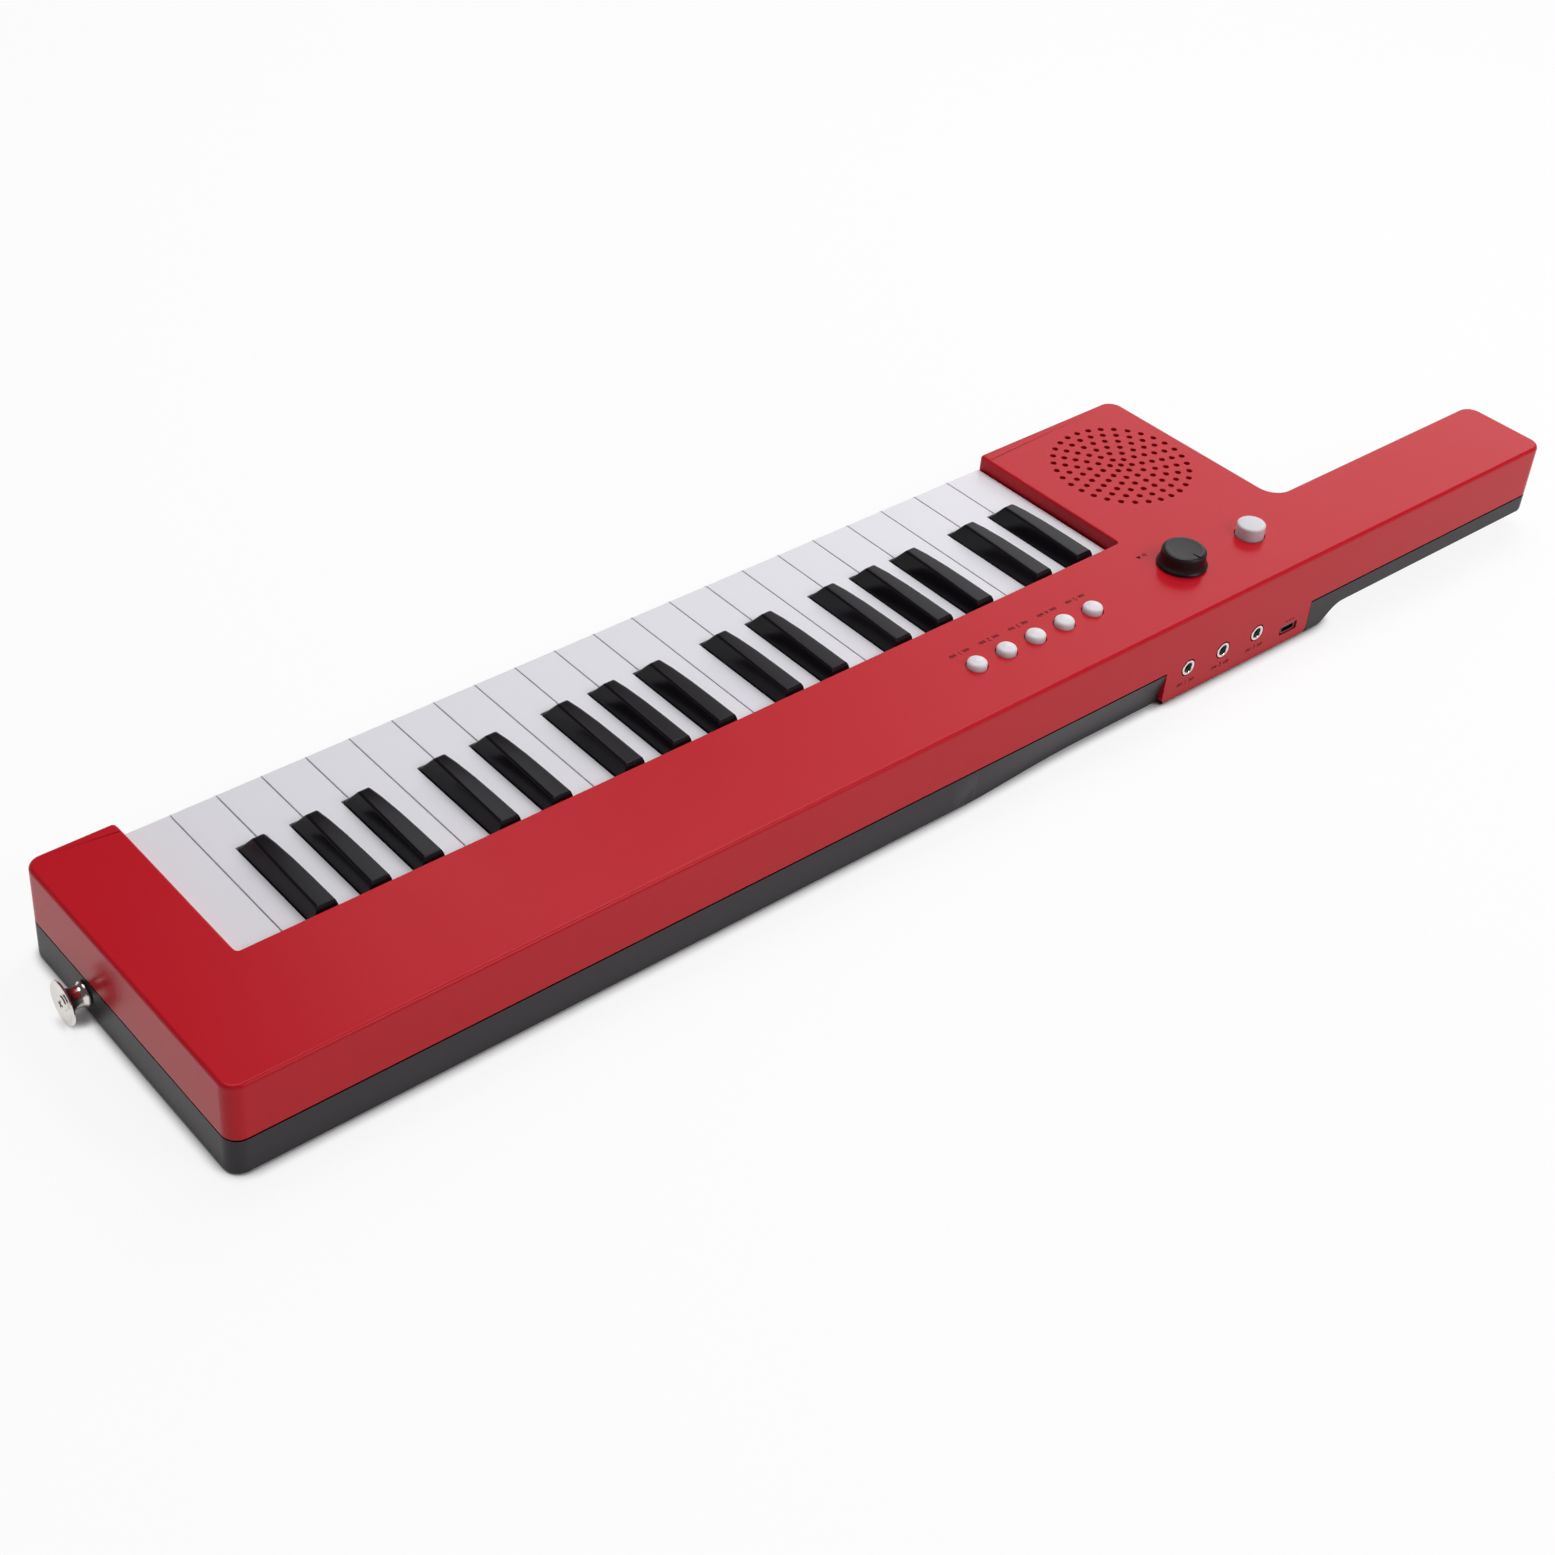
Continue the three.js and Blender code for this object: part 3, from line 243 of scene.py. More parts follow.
def roundByWeight(piece, width, segments):
    activate(piece)
    bevel = piece.modifiers.new("round", "BEVEL")
    bevel.limit_method = "WEIGHT"
    bevel.width = width * mm
    bevel.segments = segments
    bevel.use_clamp_overlap = False
    bpy.ops.object.modifier_apply(modifier=bevel.name)


def roundByAngle(piece, width, segments, angle=40):
    activate(piece)
    bevel = piece.modifiers.new("round", "BEVEL")
    bevel.width = width * mm
    bevel.segments = segments
    bevel.angle_limit = math.radians(angle)
    bpy.ops.object.modifier_apply(modifier=bevel.name)


def copyOf(piece, name, step):
    twin = piece.copy()
    twin.data = piece.data.copy()
    bpy.context.scene.collection.objects.link(twin)
    twin.location = step
    return settle(twin, name)


def dress(piece, paint, slot, body, *nodes):
    piece.data.materials.clear()
    piece.data.materials.append(paint)
    if nodes:
        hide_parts(*nodes)
    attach(piece, body)
    return piece


def addNode(tree, kind, inputs=None, **settings):
    # a new node with its settings, and with values on the inputs that are given
    node = tree.nodes.new(kind)
    for name, value in settings.items():
        setattr(node, name, value)
    for name, value in (inputs or {}).items():
        node.inputs[name].default_value = value
    return node


def wire(tree, *wires):
    # each wire runs from a node's output to another node's input
    for source, output, target, entry in wires:
        tree.links.new(source.outputs[output], target.inputs[entry])


def shadeByAngle(piece, angle=35):
    activate(piece)
    bpy.ops.object.shade_smooth_by_angle(angle=math.radians(angle))
    even = piece.modifiers.new("even", "WEIGHTED_NORMAL")
    even.keep_sharp = True
    bpy.ops.object.modifier_apply(modifier=even.name)


# Camera, light and floor

stageSizes = {
    "cameraPlace": (0.6613, 0.6321, 0.6988), "cameraTurn": (51.998, -1.538, 142.937),
    "lens": 60.856, "shiftX": 0.13987, "shiftY": -0.03698,
    "floorSize": 40, "floorColour": (0.86, 0.86, 0.86, 1), "floorGlow": (1.015, 1.01, 1.015, 1),
    "floorShare": 0.87,
    "contactReach": 0.008, "contactFrom": 0.36, "contactTo": 0.86,
    "roomColour": (1, 0.99, 1, 1), "roomLow": 0.95, "roomHigh": 0.1, "bandFoot": 0.05,
    "bandTop": 0.4,
    "glowStrength": 2, "glowFrom": (-0.8, -0.45, 0.5), "glowEdge": 0.925,
    "lamps": {
        "lampJackSide": ((-0.64, 1.37, 1.28), (0.1, 0.05, 0.03), (0.8, 0.5), 10.5),
        "lampNeck": ((-0.6, -0.3, 1.2), (-0.35, 0, 0.04), 0.7, 5.2),
        "lampBack": ((-0.62, -1.2, 1.4), (0.25, 0.03, 0.04), 0.35, 0.8),
    },
    "suns": {"sunAbove": ((-0.1, -0.25, 1), 36, 1)},
}


def addStage(sizes):
    camera = bpy.data.objects.new("camera", bpy.data.cameras.new("camera"))
    bpy.context.scene.collection.objects.link(camera)
    camera.location = sizes["cameraPlace"]
    camera.rotation_euler = [math.radians(a) for a in sizes["cameraTurn"]]
    camera.data.lens = sizes["lens"]
    camera.data.sensor_width = 36
    camera.data.shift_x = sizes["shiftX"]
    camera.data.shift_y = sizes["shiftY"]
    camera.data.clip_start = 0.01
    bpy.context.scene.camera = camera

    deselectAll()
    bpy.ops.mesh.primitive_plane_add(size=sizes["floorSize"], location=(0, 0, -0.0002))
    floor = settle(bpy.context.object, "floor")
    floor.data.materials.append(floorPaint(sizes))

    for name, (place, target, size, power) in sizes["lamps"].items():
        lamp = addLamp(name, "AREA", Vector(place) - Vector(target), power)
        lamp.location = place
        if isinstance(size, tuple):
            lamp.data.shape = "RECTANGLE"
            lamp.data.size, lamp.data.size_y = size
        else:
            lamp.data.size = size
    for name, (direction, angle, power) in sizes["suns"].items():
        lamp = addLamp(name, "SUN", Vector(direction), power)
        lamp.data.angle = math.radians(angle)
    addRoom(sizes)


def addLamp(name, kind, direction, power):
    # shines against the direction that is given
    lamp = bpy.data.objects.new(name, bpy.data.lights.new(name, kind))
    bpy.context.scene.collection.objects.link(lamp)
    lamp.rotation_euler = direction.to_track_quat("Z", "Y").to_euler()
    lamp.data.energy = power
    return lamp


def addRoom(sizes):
    # a room that is white along the horizon and dim above, with a broad glow behind the neck
    world = bpy.data.worlds.new("studio")
    bpy.context.scene.world = world
    world.use_nodes = True
    tree = world.node_tree
    tree.nodes.clear()
    out = addNode(tree, "ShaderNodeOutputWorld")
    place = addNode(tree, "ShaderNodeTexCoord")
    height = addNode(tree, "ShaderNodeSeparateXYZ")
    band = addNode(tree, "ShaderNodeMapRange", {
        "From Min": sizes["bandFoot"], "From Max": sizes["bandTop"],
        "To Min": sizes["roomLow"], "To Max": sizes["roomHigh"]}, interpolation_type="SMOOTHSTEP")
    facing = addNode(tree, "ShaderNodeVectorMath", {1: Vector(sizes["glowFrom"]).normalized()},
                     operation="DOT_PRODUCT")
    glow = addNode(tree, "ShaderNodeMapRange", {
        "From Min": sizes["glowEdge"], "From Max": 1, "To Min": 0, "To Max": sizes["glowStrength"]},
        interpolation_type="SMOOTHSTEP")
    both = addNode(tree, "ShaderNodeMath", operation="ADD")
    room = addNode(tree, "ShaderNodeBackground", {"Color": sizes["roomColour"]})
    wire(tree, (place, "Generated", height, "Vector"), (height, "Z", band, "Value"),
         (place, "Generated", facing, 0), (facing, "Value", glow, "Value"), (band, "Result", both, 0),
         (glow, "Result", both, 1), (both, "Value", room, "Strength"), (room, "Background", out, "Surface"))


def floorPaint(sizes):
    # white to the camera and in reflections, with a share of real shading that keeps the shadow
    paint = bpy.data.materials.new("pale_floor")
    paint.use_nodes = True
    tree = paint.node_tree
    tree.nodes.clear()
    out = addNode(tree, "ShaderNodeOutputMaterial")
    mixed = addNode(tree, "ShaderNodeMixShader")
    real = addNode(tree, "ShaderNodeBsdfDiffuse", {"Color": sizes["floorColour"]})
    glow = addNode(tree, "ShaderNodeEmission", {"Color": sizes["floorGlow"]})
    rays = addNode(tree, "ShaderNodeLightPath")
    seen = addNode(tree, "ShaderNodeMath", operation="ADD")
    through = addNode(tree, "ShaderNodeMath", operation="ADD", use_clamp=True)
    share = addNode(tree, "ShaderNodeMath", {1: sizes["floorShare"]}, operation="MULTIPLY")
    # close under the object the real, shaded floor shows through
    shelter = addNode(tree, "ShaderNodeAmbientOcclusion", {"Distance": sizes["contactReach"]})
    clear = addNode(tree, "ShaderNodeMapRange", {
        "From Min": sizes["contactFrom"], "From Max": sizes["contactTo"]}, interpolation_type="SMOOTHSTEP")
    bare = addNode(tree, "ShaderNodeMath", operation="MULTIPLY")
    wire(tree, (rays, "Is Camera Ray", seen, 0), (rays, "Is Glossy Ray", seen, 1),
         (seen, "Value", through, 0), (rays, "Is Transmission Ray", through, 1),
         (through, "Value", share, 0), (share, "Value", bare, 0),
         (shelter, "AO", clear, "Value"), (clear, "Result", bare, 1), (bare, "Value", mixed, "Fac"),
         (real, "BSDF", mixed, 1), (glow, "Emission", mixed, 2), (mixed, "Shader", out, "Surface"))
    return paint


addStage(stageSizes)
bpy.context.scene.view_settings.view_transform = "Standard"
print("camera, light and floor are set")


# Materials

grainSizes = {"fineDetail": 2, "depth": 0.0002, "broadScale": 25, "broadDetail": 3,
              "softRadius": (1, 1, 1), "softScale": 0.002}


def addGrain(sizes):
    # fine moulded grain: puts out a normal that wavers and a roughness that varies a little
    group = bpy.data.node_groups.new("mouldedGrain", "ShaderNodeTree")
    face = group.interface
    for name, value in (("Scale", 1500), ("Height", 0.1), ("Roughness", 0.45), ("Spread", 0.08)):
        face.new_socket(name=name, in_out="INPUT", socket_type="NodeSocketFloat").default_value = value
    face.new_socket(name="Roughness", in_out="OUTPUT", socket_type="NodeSocketFloat")
    face.new_socket(name="Normal", in_out="OUTPUT", socket_type="NodeSocketVector")
    given = addNode(group, "NodeGroupInput")
    out = addNode(group, "NodeGroupOutput")
    place = addNode(group, "ShaderNodeTexCoord")
    fine = addNode(group, "ShaderNodeTexNoise", {"Detail": sizes["fineDetail"]})
    bump = addNode(group, "ShaderNodeBump", {"Distance": sizes["depth"]})
    broad = addNode(group, "ShaderNodeTexNoise", {
        "Scale": sizes["broadScale"], "Detail": sizes["broadDetail"]})
    centred = addNode(group, "ShaderNodeMath", {1: 0.5}, operation="SUBTRACT")
    varied = addNode(group, "ShaderNodeMath", operation="MULTIPLY_ADD")
    wire(group, (place, "Object", fine, "Vector"), (given, "Scale", fine, "Scale"),
         (fine, "Fac", bump, "Height"), (given, "Height", bump, "Strength"),
         (place, "Object", broad, "Vector"), (broad, "Fac", centred, 0),
         (centred, "Value", varied, 0), (given, "Spread", varied, 1), (given, "Roughness", varied, 2),
         (varied, "Value", out, "Roughness"), (bump, "Normal", out, "Normal"))
    return group


grain = addGrain(grainSizes)


def plastic(name, colour, roughness, height=0.1, scale=1500, spread=0.08, gloss=0.5, metallic=0, index=1.45,
            soft=0):
    paint = bpy.data.materials.new(name)
    paint.use_nodes = True
    tree = paint.node_tree
    shader = tree.nodes["Principled BSDF"]
    values = {"Base Color": (*colour, 1), "Metallic": metallic, "Specular IOR Level": gloss, "IOR": index,
              "Subsurface Weight": soft, "Subsurface Radius": grainSizes["softRadius"],
              "Subsurface Scale": grainSizes["softScale"]}
    for socket, value in values.items():
        shader.inputs[socket].default_value = value
    skin = addNode(tree, "ShaderNodeGroup", {
        "Scale": scale, "Height": height, "Roughness": roughness, "Spread": spread}, node_tree=grain)
    wire(tree, (skin, "Roughness", shader, "Roughness"), (skin, "Normal", shader, "Normal"))
    return paint


redCase = plastic("red_case", (0.53, 0.009, 0.019), 0.24, height=0.03, index=1.24)
greyTray = plastic("grey_tray", (0.046, 0.041, 0.046), 0.34, height=0.05, index=1.21)
whiteKeys = plastic("white_keys", (0.79, 0.78, 0.83), 0.3, height=0.03)
blackKeys = plastic("black_keys", (0.008, 0.006, 0.009), 0.2, height=0.015, gloss=0.22)
knobBlack = plastic("knob_black", (0.010, 0.007, 0.008), 0.36, height=0.06, gloss=0.3)
buttonWhite = plastic("button_white", (0.78, 0.76, 0.8), 0.4, height=0.04, soft=0.6)
powerWhite = plastic("power_button_white", (0.66, 0.64, 0.68), 0.4, height=0.04, soft=0.6)
innerDark = plastic("inner_dark", (0.03, 0.03, 0.032), 0.6)
contactRubber = plastic("contact_rubber", (0.15, 0.15, 0.15), 0.8)
boardGreen = plastic("board_green", (0.015, 0.09, 0.04), 0.4)
nickel = plastic("nickel", (0.72, 0.69, 0.66), 0.16, height=0.01, metallic=1)
steel = plastic("steel", (0.55, 0.55, 0.56), 0.3, height=0.02, metallic=1)
# painted shade: steel darkened to stand in for the shade inside the USB slot
shadedSteel = plastic("steel_painted_shade", (0.13, 0.13, 0.135), 0.35, height=0.02, metallic=1)
# painted shade: near-black for the seam between the two halves, standing in for the shade in the gap
seamShade = plastic("seam_painted_shade", (0.003, 0.002, 0.002), 0.7, height=0.02, index=1.1)
markInk = plastic("mark_ink", (0.022, 0.006, 0.008), 0.6, height=0.02, index=1.15)
deepRed = plastic("deep_red_ink", (0.13, 0.002, 0.005), 0.6, height=0.02, index=1.15)


# Red upper case

caseSizes = {
    "top": 44.1, "foot": 17.85, "front": -147.5, "neckStart": -588.5, "neckEnd": -729.9, "neckDepth": 44.2,
    "corner": 7, "neckFillet": 9, "wall": 2.5, "edge": 1.7, "segments": 10,
    "wellBass": -500.1, "wellTreble": -39.7, "wellRear": -58.6, "wellCorner": 1.6, "cheekCorner": 2,
    "lipFoot": 39.6, "wellEdge": 0.5, "edgeTaper": (6, 9),
    "tabNeck": -569.9, "tabTreble": -474.4, "tabFoot": 1.2, "tabCorner": 2.5,
}
controlSizes = {
    "buttons": [(-452.0, -28.8), (-434.7, -28.8), (-417.4, -28.8), (-400.1, -28.8), (-382.8, -28.8)],
    "buttonRadius": 4.35, "power": (-554.1, -29.6), "powerRadius": 6.4, "knob": (-510.8, -31), "gap": 0.5,
    "shaftHole": 4.8, "jacks": [-488.4, -510.9, -533.4], "jackHeight": 15.3, "jackHole": 4.3,
    "usb": (-556.3, 8.5), "usbSlot": (11.6, 4.6), "rimEdge": 0.2,
}
grilleSizes = {"centre": (-548.7, -103.4), "rings": 6, "step": 5.26, "growth": 5, "radius": 1.4, "sides": 16}


def vertical(x, y):
    # picks the upright edges that stand at this place of the case
    spot = at(x, y, 0)
    return lambda edge: upright(edge) and near(middle(edge).x, spot.x) and near(middle(edge).y, spot.y)


def makeCaseBlock(name, sizes, low, high):
    # plan form shared by both halves: the body, with the neck pulled out of its end
    block = addBlock(name, at(sizes["neckStart"], sizes["front"], low), at(0, 0, high))
    neckSide = at(0, -sizes["neckDepth"], 0).y
    end = at(sizes["neckStart"], 0, 0).x
    addEdgeRow(block, at(0, -sizes["neckDepth"], 0), toJacks)
    pick(block, "faces", lambda face: looks(face, toNeck) and middle(face).y > neckSide)
    pull((at(sizes["neckEnd"], 0, 0).x - end, 0, 0))
    return block


def roundPlanCorners(block, sizes):
    corners = [(0, sizes["front"]), (0, 0), (sizes["neckEnd"], 0), (sizes["neckEnd"], -sizes["neckDepth"]),
               (sizes["neckStart"], sizes["front"])]
    for x, y in corners:
        pick(block, "edges", vertical(x, y))
        rounded(sizes["corner"], sizes["segments"])
    pick(block, "edges", vertical(sizes["neckStart"], -sizes["neckDepth"]))
    rounded(sizes["neckFillet"], sizes["segments"])


def makeUpperCase(sizes):
    shell = makeCaseBlock("red_case", sizes, sizes["foot"], sizes["top"])
    leaveEdit()
    well = addBlock("well", at(sizes["wellBass"], sizes["front"] - overrun, sizes["foot"] - overrun),
                    at(sizes["wellTreble"], sizes["wellRear"], sizes["top"] + overrun))
    for x in (sizes["wellBass"], sizes["wellTreble"]):
        pick(well, "edges", vertical(x, sizes["wellRear"]))
        rounded(sizes["wellCorner"], cornerSteps)
    leaveEdit()
    cutAway(shell, well)
    pick(shell, "faces", lambda face: looks(face, downward))
    bpy.ops.mesh.delete(type="FACE")
    leaveEdit()
    wall = shell.modifiers.new("wall", "SOLIDIFY")
    wall.thickness = sizes["wall"] * mm
    wall.use_even_offset = True
    bpy.ops.object.modifier_apply(modifier=wall.name)

    window = addBlock("window", at(sizes["wellBass"], sizes["wellRear"] - sizes["wellCorner"] - 1,
                                 sizes["foot"] - overrun),
                      at(sizes["wellTreble"], sizes["wellRear"] + sizes["wall"] + 1, sizes["lipFoot"]))
    cutAway(shell, window)

    # the rim between two rows of edges becomes the jack tab
    for x in (sizes["tabNeck"], sizes["tabTreble"]):
        addEdgeRow(shell, at(x, 0, 0), toTreble)
    inner = at(0, -sizes["wall"], 0).y
    span = (at(sizes["tabNeck"], 0, 0).x, at(sizes["tabTreble"], 0, 0).x)
    foot = at(0, 0, sizes["foot"]).z
    pick(shell, "faces", lambda face: looks(face, downward) and near(middle(face).z, foot)
         and span[0] < middle(face).x < span[1] and middle(face).y > inner)
    pull((0, 0, (sizes["tabFoot"] - sizes["foot"]) * mm))
    tabFoot = sizes["tabFoot"] * mm
    pick(shell, "edges", lambda edge: level(edge, tabFoot) and runsAlong(edge, toJacks)
         and (near(edge.verts[0].co.x, span[0]) or near(edge.verts[0].co.x, span[1])))
    rounded(sizes["tabCorner"], cornerSteps)

    roundPlanCorners(shell, sizes)
    for x in (sizes["wellBass"], sizes["wellTreble"]):
        pick(shell, "edges", vertical(x, sizes["front"]))
        rounded(sizes["cheekCorner"], cornerSteps)
    bpy.ops.mesh.select_all(action="SELECT")
    bpy.ops.mesh.dissolve_limited(angle_limit=flatAngle)
    top = sizes["top"] * mm
    tapers = [at(0, sizes["front"] + y, 0).y for y in sizes["edgeTaper"]]
    for y in tapers:
        addEdgeRow(shell, (0, y, 0), toJacks)

    def inWell(edge):
        # the rim's roundness tapers off where it turns from the front into the key well
        point = middle(edge)
        return (at(sizes["wellBass"] - 0.1, 0, 0).x < point.x < at(sizes["wellTreble"] + 0.1, 0, 0).x
                and tapers[0] < point.y < at(0, sizes["wellRear"] + 0.1, 0).y)

    onTop = lambda edge: level(edge, top)
    onRim = lambda edge: onTop(edge) and min(face.normal.z for face in edge.link_faces) < 0.5
    small = sizes["wellEdge"] / sizes["edge"]
    markEdges(shell, 1, lambda edge: onRim(edge) and not inWell(edge))
    markEdges(shell, (1 + small) / 2,
              lambda edge: onRim(edge) and inWell(edge) and middle(edge).y < tapers[1])
    markEdges(shell, small, lambda edge: onRim(edge) and inWell(edge) and middle(edge).y > tapers[1])
    roundByWeight(shell, sizes["edge"], 5)
    return shell


def makeHoles(sizes, grille, case):
    # one cutter of every hole in the panel and the jack tab
    deep = 12
    high = case["top"]
    cutters = [addRound("hole", at(*sizes["knob"], high), sizes["shaftHole"], deep),
               addRound("hole", at(*sizes["power"], high), sizes["powerRadius"] + sizes["gap"], deep,
                        capSides)]
    for x, y in sizes["buttons"]:
        cutters.append(addRound("hole", at(x, y, high), sizes["buttonRadius"] + sizes["gap"], deep,
                                holeSides))
    for x in sizes["jacks"]:
        cutters.append(addRound("hole", at(x, 0, sizes["jackHeight"]), sizes["jackHole"], deep, holeSides,
                                (math.radians(90), 0, 0)))
    wide, tall = sizes["usbSlot"]
    x, z = sizes["usb"]
    cutters.append(easedBlock("slot", at(x - wide / 2, -deep / 2, z - tall / 2),
                              at(x + wide / 2, deep / 2, z + tall / 2), tall / 4, 4,
                              lambda edge: runsAlong(edge, toJacks)))
    first = addRound("hole", at(*grille["centre"], high), grille["radius"], deep, grille["sides"])
    cutters.append(first)
    for ring in range(1, grille["rings"] + 1):
        count = grille["growth"] * ring + 1
        for i in range(count):
            angle = math.pi / 2 + 2 * math.pi * i / count
            hole = first.copy()
            hole.data = first.data.copy()
            bpy.context.scene.collection.objects.link(hole)
            away = Vector((math.cos(angle), math.sin(angle), 0)) * ring * grille["step"] * mm
            hole.location = away
            cutters.append(hole)
    cutter = joined(cutters)
    activate(cutter)
    bpy.ops.object.transform_apply(location=True, rotation=True, scale=True)
    return cutter


redShell = makeUpperCase(caseSizes)
cutAway(redShell, makeHoles(controlSizes, grilleSizes, caseSizes))
top = caseSizes["top"] * mm
pick(redShell, "edges", lambda edge: level(edge, top)
     and edge.calc_length() < 1.5 * mm and len(edge.link_faces) == 2
     and min(face.normal.z for face in edge.link_faces) < 0.1)
rounded(controlSizes["rimEdge"], 2)
leaveEdit()
shadeByAngle(redShell)
dress(redShell, redCase, "red_plastic", "case", "upper_case")
print("red upper case is made")


# Grey lower case

traySizes = {
    "rim": 17.05, "wall": 2.5, "edge": 1.6, "neckFoot": 8.9, "riseMiddle": -584, "riseLength": 20,
    "riseSteps": 12,
    "tipRadius": 8, "neckEdge": 1.2, "railTop": 18.8, "seam": 0.3,
    "scoopStart": -320.4, "scoopRun": 110, "scoopSteps": 16, "scoopDepth": 3.7, "scoopLand": 0.6,
    "scoopRise": 0.65,
    "bayLow": (-318, -50.9), "bayHigh": (-214, -5.9), "bayHeight": 17, "bayWall": 1.8,
    "posts": [(-15, -132.7, 0), (-15, -7.8, 0), (-573.7, -139.7, 0), (-510.4, -139.7, 0), (-608.5, -7.8, 8.9),
              (-715.1, -22.1, 8.9), (-204.6, -7.8, 0), (-327.4, -7.8, 0)],
    "screwWell": 3.2, "wheelSlot": (-650.5, -22.1, 13.3, 4.5), "wheelHeight": 17.4,
    "bracket": 3, "saddle": 2.4,
    "pinY": -104.2, "pinHoles": [(0, 9.8), (-588.5, 13)], "pinHole": 2.3,
    "pinHoleDepth": 8, "slotTop": 13,
}


def riseAt(x, sizes):
    # height of the underside along the S-shaped step from the body to the neck
    share = (sizes["riseMiddle"] + sizes["riseLength"] / 2 - x) / sizes["riseLength"]
    share = min(max(share, 0), 1)
    return sizes["neckFoot"] * (2 * share * share if share < 0.5 else 1 - 2 * (1 - share) ** 2)


def makeSideForm(sizes, case):
    # the tray seen from the jack side, run right through: flat body, step and round neck tip
    low, high = sizes["riseMiddle"] - sizes["riseLength"] / 2, sizes["riseMiddle"] + sizes["riseLength"] / 2
    form = addBlock("side_form", at(case["neckEnd"], case["front"] - overrun, 0),
                    at(overrun, overrun, sizes["rim"]))
    steps = sizes["riseSteps"]
    stations = [low + (high - low) * i / steps for i in range(steps + 1)]
    for x in stations:
        addEdgeRow(form, at(x, 0, 0), toTreble)
    for x in stations + [case["neckEnd"]]:
        place = at(x, 0, 0).x
        pick(form, "verts", lambda vert: near(vert.co.x, place) and near(vert.co.z, 0))
        bpy.ops.transform.translate(value=(0, 0, riseAt(x, sizes) * mm))
    end, foot = at(case["neckEnd"], 0, 0).x, sizes["neckFoot"] * mm
    pick(form, "edges", lambda edge: all(near(v.co.x, end) and near(v.co.z, foot) for v in edge.verts))
    rounded(sizes["tipRadius"], 10)
    leaveEdit()
    return form


def makeScoop(sizes, case):
    # wedge taken off the side for the hand: it leans further in towards the jack tab
    start, run = sizes["scoopStart"], sizes["scoopRun"]
    top = sizes["rim"] + sizes["scoopRise"] - sizes["scoopLand"]
    scoop = addBlock("scoop", at(case["tabTreble"] - 1, 0, -1), at(start, 3, top))
    steps = sizes["scoopSteps"]
    stations = [start - run + run * i / steps for i in range(steps)]
    for x in stations:
        addEdgeRow(scoop, at(x, 0, 0), toTreble)
    side = at(0, 0, 0).y
    for x in stations + [start, case["tabTreble"] - 1]:
        share = min(max((start - x) / run, 0), 1)
        share = (1 - math.cos(math.pi * share)) / 2
        foot = sizes["scoopLand"] * (1 - share) - sizes["scoopDepth"] * share
        place = at(x, 0, 0).x
        pick(scoop, "verts", lambda vert: near(vert.co.x, place) and near(vert.co.y, side) and vert.co.z < 0)
        bpy.ops.transform.translate(value=(0, foot * (1 + 1 / top) * mm, 0))
    leaveEdit()
    return scoop


